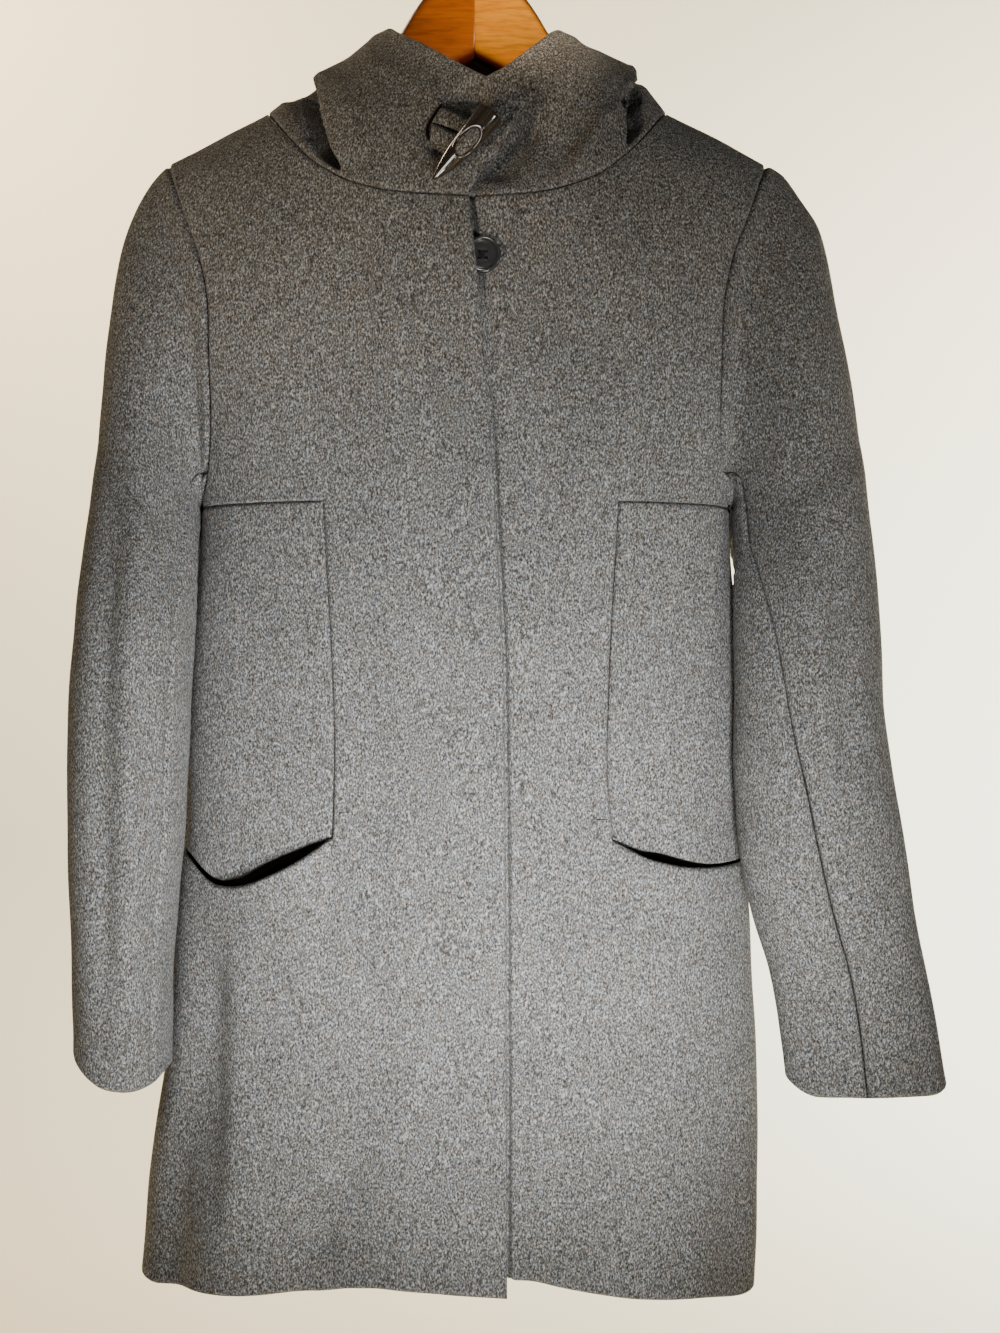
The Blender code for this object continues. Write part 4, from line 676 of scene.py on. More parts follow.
def sleeve_grid(side, place, ring):
    """Return points of a sleeve for places round it and ring positions down it."""
    start = armhole_loop(side, place)
    tip, pit = armhole_loop(side, np.array([0.0, HALF_LOOP]))
    whole_loop = armhole_loop(side, np.linspace(0.0, 2 * HALF_LOOP, 200))
    fore, aft = -whole_loop[:, 1].min(), whole_loop[:, 1].max()
    axis = pit - tip
    first_share = (start - tip) @ axis / (axis @ axis)
    first_sway = start[:, 1] / np.where(start[:, 1] < 0, fore, aft)
    rest = (start - tip - first_share[:, None] * axis) * np.array([1.0, 0.0, 1.0])
    first = (side * tip[0], tip[2], side * pit[0], pit[2], 0.0, SLEEVES[side][0][5])
    sections = zip((first, *SLEEVES[side]), ROUND_SHARES)
    table = [(k, *section, part) for k, (section, part) in enumerate(sections)]
    x_out, z_out, x_in, z_in, y_mid, depth, whole = [curve(ring)[:, None] for curve in columns_of(table)]
    begin = np.clip(1.0 - ring, 0.0, 1.0)[:, None]
    deep = depth * (1.0 - begin) + begin * np.where(start[:, 1] < 0, fore, aft)[None, :]
    front_turn, back_turn = [curve((z_out + z_in) / 2) for curve in columns_of(SEAM_TURN[side])]
    c = place[None, :]
    turn = np.where(c <= FRONT_SEAM, front_turn * c / FRONT_SEAM,
                    front_turn + (back_turn - front_turn) * (c - FRONT_SEAM) / (BACK_SEAM - FRONT_SEAM))
    last = back_turn + (1.0 - back_turn) * (c - BACK_SEAM) / (2 * HALF_LOOP - BACK_SEAM)
    turn = 2 * pi * np.where(c <= BACK_SEAM, turn, last)
    share = (1 - whole) * first_share + whole * (1.0 - np.cos(turn)) / 2.0
    sway = (1 - whole) * first_sway - whole * np.sin(turn)
    left_over = (1 - whole)[..., None] ** 2 * rest
    x = side * (x_out + (x_in - x_out) * share) + left_over[..., 0]
    z = z_out + (z_in - z_out) * share + left_over[..., 2]
    even = ease(whole, NEARLY_ROUND, 1.0)
    y = y_mid * (even + (1.0 - even) * np.sqrt(np.maximum(share, 0.0))) + deep * sway
    return clear_of_body(np.stack([x, y, z], axis=-1))


# %% [markdown]
# The creases of a hanging sleeve lie on its front, so the strokes fade where the cloth turns away. Two seams
# cut the tube into a wide top sleeve and a narrow under sleeve, whose edges sink into the seam.

# %% Top and under sleeves
def finished_sleeve(side, place):
    """Return a sleeve's points with its unevenness and its creases, which show on the front alone."""
    ring = crowd(0.0, len(SLEEVES[side]), SLEEVE_STEPS, RING_PULL)
    points = sleeve_grid(side, place, ring)
    normals = grid_normals(points, flip=side > 0)
    facing = np.clip(-normals[..., 1], 0.0, 1.0)
    begun = ease(ring, 0.0, SMOOTH_RINGS)[:, None]
    rise = begun * (uneven(points) + facing * creases(points, SLEEVE_CREASES[side]))
    points = points + normals * rise[..., None]
    sway, = columns_of(CUFF_SWAY[side])
    points[..., 2] += sway(points[..., 0]) * ease(points[..., 2], CUFF_Z[side] + CUFF_SWAY_OVER, CUFF_Z[side])
    return points


top_places = joined((BACK_SEAM - 2 * HALF_LOOP, 0.0, TOP_STEPS[0], PLACE_PULL),
                    (0.0, FRONT_SEAM, TOP_STEPS[1], PLACE_PULL))
top_places = np.where(top_places < 0, top_places + 2 * HALF_LOOP, top_places)
under_places = crowd(FRONT_SEAM, BACK_SEAM, UNDER_STEPS)
for side in (-1, 1):
    for name, places in (("top_sleeve_", top_places), ("under_sleeve_", under_places)):
        cloth(name + SIDE_NAME[side] + "_cloth", finished_sleeve(side, places), flip=side > 0,
              roll=SLEEVE_ROLL, width=SLEEVE_ROLL_WIDTH)

# %% [markdown]
# The hood stands up from the neckline as a funnel whose two front flaps cross. Each section of it, from the
# neckline to its free edge, is a spline through a few key points. Behind the neck the cloth turns over its
# crest and hangs down as a pouch, which is cut as a piece of its own.

# %% Hood table
HOOD = (  # station, crest x y z, fold x y z, edge x y z, pouch
    (0.00, -0.0150, -0.0745, -0.2000, -0.0260, -0.0735, -0.1820, -0.0380, -0.0700, -0.1640, 0.0),
    (0.14, 0.0130, -0.0735, -0.1940, 0.0030, -0.0710, -0.1730, -0.0085, -0.0660, -0.1515, 0.0),
    (0.28, 0.0480, -0.0690, -0.1830, 0.0400, -0.0640, -0.1540, 0.0290, -0.0530, -0.1275, 0.0),
    (0.40, 0.0780, -0.0600, -0.1700, 0.0660, -0.0490, -0.1370, 0.0520, -0.0300, -0.1090, 0.0),
    (0.50, 0.0960, -0.0370, -0.1450, 0.0790, -0.0170, -0.1170, 0.0580, -0.0040, -0.0990, 0.0),
    (0.57, 0.1110, -0.0130, -0.1335, 0.0890, 0.0090, -0.1150, 0.0570, 0.0230, -0.0990, 0.0),
    (0.64, 0.1220, 0.0070, -0.1410, 0.1030, 0.0360, -0.1230, 0.0540, 0.0490, -0.0960, 0.0),
    (0.70, 0.1170, 0.0300, -0.1400, 0.1000, 0.0500, -0.1200, 0.0500, 0.0680, -0.0970, 0.0),
    (0.76, 0.1060, 0.0430, -0.1360, 0.1160, 0.0790, -0.2250, 0.1060, 0.0740, -0.1400, 0.8),
    (0.82, 0.0900, 0.0490, -0.1270, 0.1080, 0.0880, -0.2830, 0.0880, 0.0880, -0.1470, 1.0),
    (0.88, 0.0640, 0.0530, -0.1130, 0.0820, 0.0930, -0.3150, 0.0600, 0.0980, -0.1530, 1.0),
    (0.94, 0.0330, 0.0540, -0.1010, 0.0440, 0.0950, -0.3310, 0.0310, 0.1030, -0.1570, 1.0),
    (1.00, 0.0000, 0.0540, -0.0980, 0.0000, 0.0960, -0.3360, 0.0000, 0.1050, -0.1580, 1.0))
NECK_STATION, FLAP_STATION, POUCH_STATION = 0.64, 0.70, 0.76
CENTRE_STATIONS, FLAP_STATIONS = (0.50, 0.72), (0.22, 0.42)
UNDER_FLAP_BACK, UNDER_FLAP_DROP = 0.0105, 0.0050
CREST_ROUND, FOLD_ROUND, BACK_CLEAR, POUCH_BELLY = 0.0070, 0.0095, 0.0100, 0.018
PEAK_STATION, PEAK_SPREAD, PEAK_ROUND, PEAK_DROP = 0.53, 0.07, 0.0034, 0.0030     # the hood's two upper corners
LOBE_RISE, LOBE_STATIONS = 0.0055, (0.50, 0.58, 0.68, 0.76)        # the left half's side fold stands higher
CREST, LAST_KEY, TUCK = 2.0, 9.0, 0.75      # places along a section: crest, free edge, tuck below the flap
hood_columns = columns_of(HOOD)
print("hood of", len(HOOD), "sections to a side")


# %% [markdown]
# A section starts at the neckline, rises to the crest, turns over it and ends at the free edge. The right and
# left halves share one table. Only the left flap steps back and down, because it lies under the right one.

# %% Hood sections
def hood_base(side, station):
    """Return points along the neckline of one hood half, from its front edge to the back seam."""
    front = np.minimum(station, NECK_STATION) / NECK_STATION
    angle, z = front_top(side, NECK_COLUMNS * front)
    ahead = skin(angle, z, front_lift(side, angle, z))[0]
    across = NECK_POINT * (1.0 - np.maximum(station - NECK_STATION, 0.0) / (1.0 - NECK_STATION))
    z = back_neck_z(across)
    behind = skin(angle_at(centre(z) + side * across, z, True), z)[0]
    return np.where((station <= NECK_STATION)[:, None], ahead, behind)


def peak(station):
    """Return 1 at a corner of the hood's upper outline, less beside it."""
    return np.exp(-((station - PEAK_STATION) / PEAK_SPREAD) ** 2)


def hood_keys(side, station):
    """Return crest, fold and free edge for each station, and how much of a pouch it is."""
    keys = []
    near = 1.0 - ease(station, *FLAP_STATIONS)
    lobe = ease(station, *LOBE_STATIONS[:2]) * (1.0 - ease(station, *LOBE_STATIONS[2:]))
    for k in (0, 3, 6):
        x, y, z = [hood_columns[k + axis](station) for axis in range(3)]
        x = x * side + BODY[0][1] * ease(station, *CENTRE_STATIONS)
        if side > 0:
            y, z = y + UNDER_FLAP_BACK * near, z - UNDER_FLAP_DROP * near
            z = z - PEAK_DROP * peak(station) if k == 6 else z + LOBE_RISE * lobe
        keys.append(np.stack([x, y, z], axis=-1))
    return *keys, hood_columns[9](station)[:, None]


def spline(keys, place):
    """Return points at places on smooth curves through lists of key points."""
    i = np.minimum(place.astype(int), len(keys) - 2)
    t = (place - i)[:, None, None]
    stack = np.stack([keys[0], *keys, keys[-1]])
    before, a, b, after = stack[i], stack[i + 1], stack[i + 2], stack[i + 3]
    return (a * (2 * t ** 3 - 3 * t * t + 1) + (b - before) * 0.5 * (t ** 3 - 2 * t * t + t)
            + b * (3 * t * t - 2 * t ** 3) + (after - a) * 0.5 * (t ** 3 - t * t))


def hood_grid(side, station, place):
    """Return points of a hood half for stations round the neck and places along its sections."""
    base = hood_base(side, station)
    crest, fold, edge, pouch = hood_keys(side, station)
    inner = (crest + fold) * 0.5
    floor = np.maximum(inner[:, 1], back_depth(inner[:, 2]) + BACK_CLEAR)
    inner[:, 1] += (floor - inner[:, 1]) * pouch[:, 0]
    up, out = np.array([0.0, 0.0, 1.0]), np.array([0.0, 1.0, 0.0])
    outer = (fold + edge) * 0.5 + out * POUCH_BELLY * pouch + up * PEAK_ROUND * peak(station)[:, None]

    def turned(loose, tight):
        return loose * (1.0 - pouch) + tight * pouch
    before = turned(crest + (base - crest) * 0.25, crest - (out + up) * CREST_ROUND)
    after = turned(crest + (inner - crest) * 0.35, crest + (out - up) * CREST_ROUND)
    fold_in = turned((inner + fold) * 0.5, fold + (up - out) * FOLD_ROUND)
    fold_out = turned((fold + outer) * 0.5, fold + (up + out) * FOLD_ROUND)
    return spline([base, before, crest, after, inner, fold_in, fold, fold_out, outer, edge], place)


# %% [markdown]
# Beside the neck the standing cloth folds over itself. The front layer runs past a line, turns back behind it
# and comes forward again, which is what letting the station swing back and forth does. The layer behind also
# stands lower.

# %% Hood halves with their folds
PLEATS = {  # half width, overlap, depth and drop of the layer behind, half widths where it comes forward
    -1: (0.026, 0.080, 0.0180, 0.0085, 1.3, 3.2),
    1: (0.018, 0.046, 0.0140, 0.0015, 1.0, 3.4),
}
PLEAT_LINES = (  # place along the section, station of the fold on the right half and on the left half
    (0.00, 0.335, 0.497), (0.25, 0.350, 0.497), (0.50, 0.395, 0.495), (0.75, 0.462, 0.510), (1.00, 0.502, 0.540),
    (1.25, 0.524, 0.560), (1.50, 0.534, 0.568), (2.00, 0.533, 0.568))
PLEAT_GROWS, PLEAT_ENDS = (0.10, 0.50), (3.0, 6.0)
JOG, JOG_PLACES, JOG_STATIONS = 0.0035, (0.86, 0.96), (0.0, 0.10)   # a small step in the over flap's free edge
HOOD_CREASES = {  # strokes in the front view: x, z, x, z, half width, rise
    -1: ((-0.1025, -0.181, -0.1107, -0.1905, 0.0030, -0.0030), (-0.088, -0.160, -0.078, -0.205, 0.012, 0.0020),
         (-0.050, -0.140, -0.030, -0.200, 0.016, -0.0015), (-0.0195, -0.1690, 0.0130, -0.1650, 0.0070, -0.0085),
         (-0.0279, -0.2000, -0.0175, -0.2060, 0.0040, -0.0050)),
    1: ((0.1121, -0.137, 0.0953, -0.1635, 0.0050, 0.0060), (0.0953, -0.1635, 0.0663, -0.2163, 0.0060, 0.0070),
        (0.1110, -0.150, 0.0999, -0.1640, 0.0045, -0.0130), (0.082, -0.155, 0.0510, -0.2150, 0.012, -0.0040),
        (0.0890, -0.1800, 0.0755, -0.2080, 0.0045, -0.0040),
        (0.036, -0.176, 0.010, -0.222, 0.013, -0.0080), (0.006, -0.1520, 0.040, -0.1605, 0.0055, -0.0065)),
}
BEHIND_GROWS, BEHIND_LEVELS, CREASE_GROWS = (-0.6, 0.6), (2.0, 8.0), (0.0, 0.6)
FINE_STATIONS = (0.28, 0.65)                # the folds lie between these
hood_stations = joined((0.0, FINE_STATIONS[0], 40, 0.5), (*FINE_STATIONS, 127, 0.0),
                       (FINE_STATIONS[1], FLAP_STATION, 9, 0.0), (FLAP_STATION, POUCH_STATION, 7, 0.0),
                       (POUCH_STATION, 1.0, 30, 0.5))
hood_places = joined((0.0, TUCK, 13, 0.0), (TUCK, CREST, 15, 0.0), (CREST, LAST_KEY, 40, 0.5))


def pleated_hood(side):
    """Return the points of a hood half with the fold beside the neck."""
    plain = hood_grid(side, hood_stations, hood_places)
    normals = grid_normals(plain, flip=side > 0)
    width, overlap, depth, drop, *forward = PLEATS[side]
    line = columns_of(PLEAT_LINES)[(side + 1) // 2](np.minimum(hood_places, CREST))
    away = (hood_stations[None, :] - line[:, None]) / width
    grown = (ease(hood_places, *PLEAT_GROWS) * (1.0 - ease(hood_places, *PLEAT_ENDS)))[:, None]
    moved = hood_stations[None, :] - overlap * grown * away * np.exp(-away ** 2)
    points = np.empty_like(plain)
    for row, stations in enumerate(moved):
        for axis in range(3):
            points[row, :, axis] = np.interp(stations, hood_stations, plain[row, :, axis])
    if side < 0:
        jog = ease(hood_places, *JOG_PLACES)[:, None] * (1.0 - ease(hood_stations, *JOG_STATIONS))
        points[..., 0] += JOG * jog
    behind = ease(away, *BEHIND_GROWS) * grown
    points = points - normals * (depth * behind * (1.0 - ease(away, *forward)))[..., None]
    points[..., 2] -= drop * behind * (1.0 - ease(away, *BEHIND_LEVELS))
    normals = grid_normals(points, flip=side > 0)
    facing = np.clip(-normals[..., 1], 0.0, 1.0) * ease(hood_places, *CREASE_GROWS)[:, None]
    return points + normals * (facing * creases(points, HOOD_CREASES[side]))[..., None]


for side in (-1, 1):
    right_end, lower_end = hood_stations[None, 1:], hood_places[1:, None]
    kept = (right_end <= FLAP_STATION + 1e-6) | (lower_end <= TUCK + 1e-6)
    kept = kept | ((right_end > POUCH_STATION + 1e-6) & (lower_end <= CREST + 1e-6))
    cloth("hood_" + SIDE_NAME[side] + "_cloth", pleated_hood(side), kept, flip=side > 0)

# %% [markdown]
# Behind the neck the hood hangs down as a pouch. It continues the same sections, so it follows both halves
# closely. The dark lining that shows below the hanger is a thinner sheet inside the standing part.

# %% Crown of the hood and the lining inside its standing back
LINING, LINING_GAP = 0.0010, 0.0006
CROWN_STEPS, CROWN_ROWS, CROWN_FINER = 36, 57, 1.5
LINING_ROWS = (0.15, 1.6, 20)               # first and last place along the sections, number of rows
crown_stations = crowd(POUCH_STATION, 1.0, CROWN_STEPS, 0.5)


def whole_hood(places):
    """Return points of the hood's back from its left end to its right end."""
    left, right = [hood_grid(side, crown_stations, places) for side in (1, -1)]
    return np.concatenate([left, right[:, -2::-1]], axis=1)


crown = whole_hood(np.linspace(CREST, LAST_KEY, CROWN_ROWS))
crown = crown + grid_normals(crown, True) * uneven(crown * CROWN_FINER)[..., None]
cloth("hood_crown_cloth", crown, flip=True)
lining = whole_hood(np.linspace(*LINING_ROWS))
lining = lining - grid_normals(lining, True) * (CLOTH + LINING_GAP)
cloth("hood_lining_cloth", lining, flip=True, thickness=LINING, roll=0.0)

# %% [markdown]
# The toggle is a polished tip of horn that lies aslant on the flap. It is a tube with a radius for each share
# of its length. An oval slot goes through it: the points inside the oval sink and those around it rise into a
# thin rim. The tube has many points, because a sharp rim on a shiny surface shows every corner.

# %% Toggle
TOGGLE_TOP, TOGGLE_TIP = (0.0118, -0.1824), (-0.0257, -0.2264)
TOGGLE = ((0.00, 0.0082), (0.015, 0.0089), (0.06, 0.0091), (0.30, 0.0086), (0.45, 0.0079), (0.60, 0.0071),
          (0.80, 0.0048), (0.92, 0.0026), (0.98, 0.0012), (1.00, 0.0003))
TOGGLE_STAND = (0.0094, 0.0080)             # its middle line off the flap, at the top and at the tip
FLAP_SPOT, FLAP_SLOPE = (-0.0235, -0.0711, -0.1825), (-0.055, 0.145)
SLOT_SHARE, SLOT_TURN = 0.445, radians(106)
SLOT_HALF = (0.0112, 0.0066)                # along and across the toggle
SLOT_DEPTH, SLOT_RIM, SLOT_RIM_AT, SLOT_RIM_SPREAD = 0.0021, 0.00035, 1.09, 0.07
SLOT_WALL = (0.88, 1.00)
TOGGLE_RINGS, TOGGLE_TURNS, RING_POWER = 190, 180, 1.15
TOP_RINGS, TOP_BULGE = (0.02, 0.3, 0.6, 0.8, 0.93), 0.0004


def flap_spot(place, stand_off):
    """Return a point in front of the over flap, for x and z."""
    x, z = place
    slope = FLAP_SLOPE[0] * (x - FLAP_SPOT[0]) + FLAP_SLOPE[1] * (z - FLAP_SPOT[2])
    return np.array([x, FLAP_SPOT[1] + slope - stand_off, z])


def full_turn(count):
    """Return angles spread evenly over a full turn."""
    return 2 * pi * np.arange(count) / count


def tube_faces(rings, sides, flip=False, closed=True):
    """Return the faces of a tube of rings, with both of its ends closed where asked."""
    index = np.arange(rings * sides).reshape(rings, sides)
    index = np.concatenate([index, index[:, :1]], axis=1)
    ends = [index[0, :-1].tolist(), index[-1, -2::-1].tolist()] if closed else []
    faces = grid_quads(index).reshape(-1, 4).tolist() + ends
    return [face[::-1] for face in faces] if flip else faces


toggle_top, toggle_tip = flap_spot(TOGGLE_TOP, TOGGLE_STAND[0]), flap_spot(TOGGLE_TIP, TOGGLE_STAND[1])
toggle_way = unit(toggle_tip - toggle_top)
toggle_length = np.linalg.norm(toggle_tip - toggle_top)
toggle_across = unit(np.cross(toggle_way, np.array([0.0, -1.0, 0.0])))
toggle_out = np.cross(toggle_across, toggle_way)
toggle_radius, = columns_of(TOGGLE)


def toggle_point(share, turn, inwards):
    """Return points of the toggle's surface, moved inwards."""
    reach = (toggle_radius(share) - inwards)[..., None]
    aside = np.cos(turn)[..., None] * toggle_across + np.sin(turn)[..., None] * toggle_out
    return toggle_top + toggle_way * (toggle_length * share)[..., None] + aside * reach


toggle_rings = np.linspace(0.0, 1.0, TOGGLE_RINGS) ** RING_POWER
share, turn = np.meshgrid(toggle_rings, full_turn(TOGGLE_TURNS), indexing="ij")
along = (share - SLOT_SHARE) * toggle_length / SLOT_HALF[0]
aside = (turn - SLOT_TURN) * toggle_radius(share) / SLOT_HALF[1]
oval = np.hypot(along, aside)
rim = SLOT_RIM * np.exp(-((oval - SLOT_RIM_AT) / SLOT_RIM_SPREAD) ** 2)
slot = SLOT_DEPTH * (1.0 - ease(oval, *SLOT_WALL)) - rim
horn_points = toggle_point(share, turn, slot)
disc = [toggle_top + (horn_points[0] - toggle_top) * part - toggle_way * TOP_BULGE * (1 - part * part)
        for part in TOP_RINGS]
horn_points = np.concatenate([np.array(disc), horn_points])
toggle = mesh_piece("toggle_horn", horn_points.reshape(-1, 3), tube_faces(*horn_points.shape[:2]))
print("toggle", len(toggle.data.polygons), "faces,", round(toggle_length * 1000, 1), "mm long")

# %% [markdown]
# The loop is a band of the coat's own wool. It comes out of a slit in the flap as two layers beside each
# other, goes under the toggle and shows again in its slot. A thin dark tube along the slit is painted shade:
# it stands for the shadow inside the slit.

# %% Loop, painted shade in its slit and the wool in the slot
LOOP_WALL, BAND_ROLL, BAND_ROLL_WIDTH = 0.0020, 0.0017, 0.0034
BAND_STEPS, SLIT_STEPS, WOOL_RINGS, WOOL_TURNS = (40, 24), 30, 14, 48
WOOL_SINK, WOOL_ROUND = 0.0004, 0.0012      # how deep the wool lies in the slot, and how much deeper at its edge
LOOP_BANDS = {  # slit end above and below, toggle end above and below: x and z of each
    "upper": ((-0.0218, -0.1735), (-0.0280, -0.1836), (0.0010, -0.1855), (-0.0055, -0.1940)),
    "lower": ((-0.0283, -0.1850), (-0.0290, -0.1965), (-0.0065, -0.1958), (-0.0125, -0.2045)),
}
BAND_STANDS = ((0.0, 0.0002), (0.06, 0.0022), (0.25, 0.0040), (1.0, 0.0060))
SLIT = ((-0.0202, -0.1715), (-0.0254, -0.1795), (-0.0288, -0.1850), (-0.0301, -0.1905), (-0.0290, -0.1972))
SLIT_SHADE_RADIUS, SLIT_SHADE_SINK = 0.0011, 0.0006
band_stand, = columns_of(BAND_STANDS)


def round_tube(path, radius, sides=10):
    """Return vertices and faces of a tube along a path, narrowing to points at its ends."""
    path = np.asarray(path, float)
    way = unit(np.gradient(path, axis=0))
    across = unit(np.cross(way, np.array([0.0, -1.0, 0.05])))
    out = np.cross(across, way)
    turn = full_turn(sides)
    narrow = np.sqrt(np.clip(1.0 - np.linspace(-1.0, 1.0, len(path)) ** 8, 0.0025, 1.0))[:, None, None]
    ring = np.cos(turn)[None, :, None] * across[:, None] + np.sin(turn)[None, :, None] * out[:, None]
    return (path[:, None] + ring * narrow * radius).reshape(-1, 3), tube_faces(len(path), sides)


for name, corners in LOOP_BANDS.items():
    u, v = [np.linspace(0.0, 1.0, steps) for steps in BAND_STEPS]
    a, b, c, d = [np.array(corner) for corner in corners]
    places = ((a * (1 - v[:, None]) + b * v[:, None])[None] * (1 - u[:, None, None])
              + (c * (1 - v[:, None]) + d * v[:, None])[None] * u[:, None, None])
    points = np.array([[flap_spot(place, float(band_stand(t))) for place in row] for t, row in zip(u, places)])
    cloth("toggle_loop_" + name, points, flip=True, thickness=LOOP_WALL, roll=BAND_ROLL, width=BAND_ROLL_WIDTH)
slit_x, slit_z = columns_of([(share, *place) for share, place in zip(np.linspace(0.0, 1.0, len(SLIT)), SLIT)])
slit_steps = np.linspace(0.0, 1.0, SLIT_STEPS)
# a thin dark tube sunk along the slit: painted shade for the shadow inside the slit
slit_shade_path = [flap_spot(place, -SLIT_SHADE_SINK) for place in zip(slit_x(slit_steps), slit_z(slit_steps))]
mesh_piece("loop_slit", *round_tube(slit_shade_path, SLIT_SHADE_RADIUS))
rho, turn = np.meshgrid(np.linspace(0.01, 0.97, WOOL_RINGS), full_turn(WOOL_TURNS), indexing="ij")
patch_share = SLOT_SHARE + rho * np.cos(turn) * SLOT_HALF[0] / toggle_length
patch_turn = SLOT_TURN + rho * np.sin(turn) * SLOT_HALF[1] / toggle_radius(patch_share)
points = toggle_point(patch_share, patch_turn, WOOL_SINK + WOOL_ROUND * rho ** 4)
mesh_piece("toggle_loop_slot", points.reshape(-1, 3), tube_faces(*points.shape[:2], closed=False))
print("loop of two bands, a slit", round((SLIT[0][1] - SLIT[-1][1]) * 1000, 1), "mm high and wool in the slot")

# %% [markdown]
# A four-hole button of black plastic: a rim, a sunken face and four small holes. It is a disc of rings around
# its middle, so the holes are places where the rings sink. Two strands of thread cross from hole to hole.

# %% Button
BUTTON_RADIUS, BUTTON_HEIGHT, BUTTON_GAP = 0.0120, 0.0036, 0.0004
BUTTON_PROFILE = (  # step, share of the radius, share of the height
    (0, 0.01, 0.66), (1, 0.30, 0.66), (2, 0.60, 0.68), (3, 0.72, 0.70), (4, 0.78, 0.82), (5, 0.84, 0.96),
    (6, 0.89, 1.00), (7, 0.955, 0.93), (8, 1.00, 0.70), (9, 1.00, 0.30), (10, 0.95, 0.04), (11, 0.5, 0.0),
    (12, 0.01, 0.0))
BUTTON_STEPS, BUTTON_TURNS, FACE_END = ((0.0, 2.0, 39, 0.0), (2.0, 12.0, 59, 0.0)), 144, 3
HOLE_AWAY, HOLE_RADIUS, HOLE_DEPTH, HOLE_WALL = 0.0030, 0.00125, 0.0018, 0.75
THREAD_RADIUS, THREAD_ARCH, THREAD_DIVE = 0.00034, 2.2, 0.0006
button_radius, button_height = columns_of(BUTTON_PROFILE)
spot_angle = angle_at(BUTTON_PLACE[0], BUTTON_PLACE[1])
button_middle, button_out = skin(spot_angle, BUTTON_PLACE[1], front_lift(1, spot_angle, BUTTON_PLACE[1]))
button_right = unit(np.cross(np.array([0.0, 0.0, 1.0]), -button_out)) * -1.0
button_up = np.cross(button_right, -button_out) * -1.0


def button_spot(right, up, out):
    """Return points in front of the button's place."""
    return (button_middle + right[..., None] * button_right + up[..., None] * button_up
            + (out + BUTTON_GAP)[..., None] * button_out)


step, turn = np.meshgrid(joined(*BUTTON_STEPS), full_turn(BUTTON_TURNS), indexing="ij")
right, up = [button_radius(step) * BUTTON_RADIUS * wave(turn) for wave in (np.cos, np.sin)]
height = button_height(step) * BUTTON_HEIGHT
holes = [(HOLE_AWAY * cos(pi / 4 + pi / 2 * k), HOLE_AWAY * sin(pi / 4 + pi / 2 * k)) for k in range(4)]
near = np.min([np.hypot(right - x, up - y) for x, y in holes], axis=0)
sunk = HOLE_DEPTH * (1.0 - ease(near, HOLE_WALL * HOLE_RADIUS, HOLE_RADIUS))
height = height - np.where(step < FACE_END, sunk, 0.0)
points = button_spot(right, up, height)
mesh_piece("button_disc", points.reshape(-1, 3), tube_faces(*points.shape[:2], flip=True))
strands = []
face_height = button_height(0.0) * BUTTON_HEIGHT
for k in (0, 1):
    for aside in (-1.0, 1.0):
        t = np.linspace(-1.0, 1.0, 24)
        x = t * holes[k][0] - aside * THREAD_RADIUS * holes[k][1] / HOLE_AWAY
        y = t * holes[k][1] + aside * THREAD_RADIUS * holes[k][0] / HOLE_AWAY
        rise = face_height + THREAD_RADIUS * (THREAD_ARCH + k) * (1.0 - t ** 4) - THREAD_DIVE * t ** 4
        strands.append(round_tube(button_spot(x, y, rise), THREAD_RADIUS, 8))
starts = np.cumsum([0] + [len(vertices) for vertices, faces in strands])
mesh_piece("button_thread", np.concatenate([vertices for vertices, faces in strands]),
           [[start + v for v in face] for start, (vertices, faces) in zip(starts, strands) for face in faces])
print("button", 2 * BUTTON_RADIUS * 1000, "mm across with", len(holes), "holes")

# %% [markdown]
# The hanger is two shaped pieces of wood that meet in the middle, and a steel hook. Each piece is a row of
# rounded sections whose top and bottom lines come from a table. The CAD hook is already a smooth tube in the
# right place, so it only needs its steel.

# %% Hanger
HANGER = (  # x, top, bottom, half thickness
    (0.0000, -0.0600, -0.1187, 0.0095), (0.0120, -0.0615, -0.1251, 0.0095), (0.0240, -0.0668, -0.1315, 0.0095),
    (0.0350, -0.0765, -0.1373, 0.0094), (0.0435, -0.0885, -0.1418, 0.0092), (0.0520, -0.1025, -0.1463, 0.0090),
    (0.0650, -0.1155, -0.1533, 0.0084), (0.0900, -0.1365, -0.1666, 0.0076), (0.1200, -0.1590, -0.1825, 0.0072),
    (0.1400, -0.1715, -0.1930, 0.0070), (0.1640, -0.1772, -0.2011, 0.0074), (0.1810, -0.1870, -0.2060, 0.0070),
    (0.1900, -0.1950, -0.2035, 0.0040))
JOINT_GAP, JOINT_SOFT, JOINT_DEPTH, WOOD_SQUARENESS = 0.00002, 0.0004, 0.012, 3.4
JOINT_RINGS = (JOINT_GAP, JOINT_GAP, 0.0003, 0.0006, 0.0010)    # close rings where the two halves meet
WOOD_START, WOOD_RINGS, WOOD_TURNS, END_SIZE = 0.0015, 90, 56, 0.02
hanger_top, hanger_bottom, hanger_half = columns_of(HANGER)
for side in (-1, 1):
    rings = np.concatenate([JOINT_RINGS, crowd(WOOD_START, HANGER[-1][0], WOOD_RINGS, 0.5), HANGER[-1][:1]])
    x, turn = np.meshgrid(rings, full_turn(WOOD_TURNS), indexing="ij")
    size = 1.0 - JOINT_DEPTH * np.exp(-(x / JOINT_SOFT) ** 2)
    size[0] = size[-1] = END_SIZE
    power = 2.0 / WOOD_SQUARENESS
    sway, rise = [np.sign(wave(turn)) * np.abs(wave(turn)) ** power for wave in (np.cos, np.sin)]
    y = hanger_half(x) * sway * size
    z = (hanger_top(x) + hanger_bottom(x)) / 2 + (hanger_top(x) - hanger_bottom(x)) / 2 * rise * size
    points = np.stack([side * x, y, z], axis=-1)
    mesh_piece("hanger_wood_" + SIDE_NAME[side] + "_shaped", points.reshape(-1, 3),
               tube_faces(*points.shape[:2], flip=side > 0))
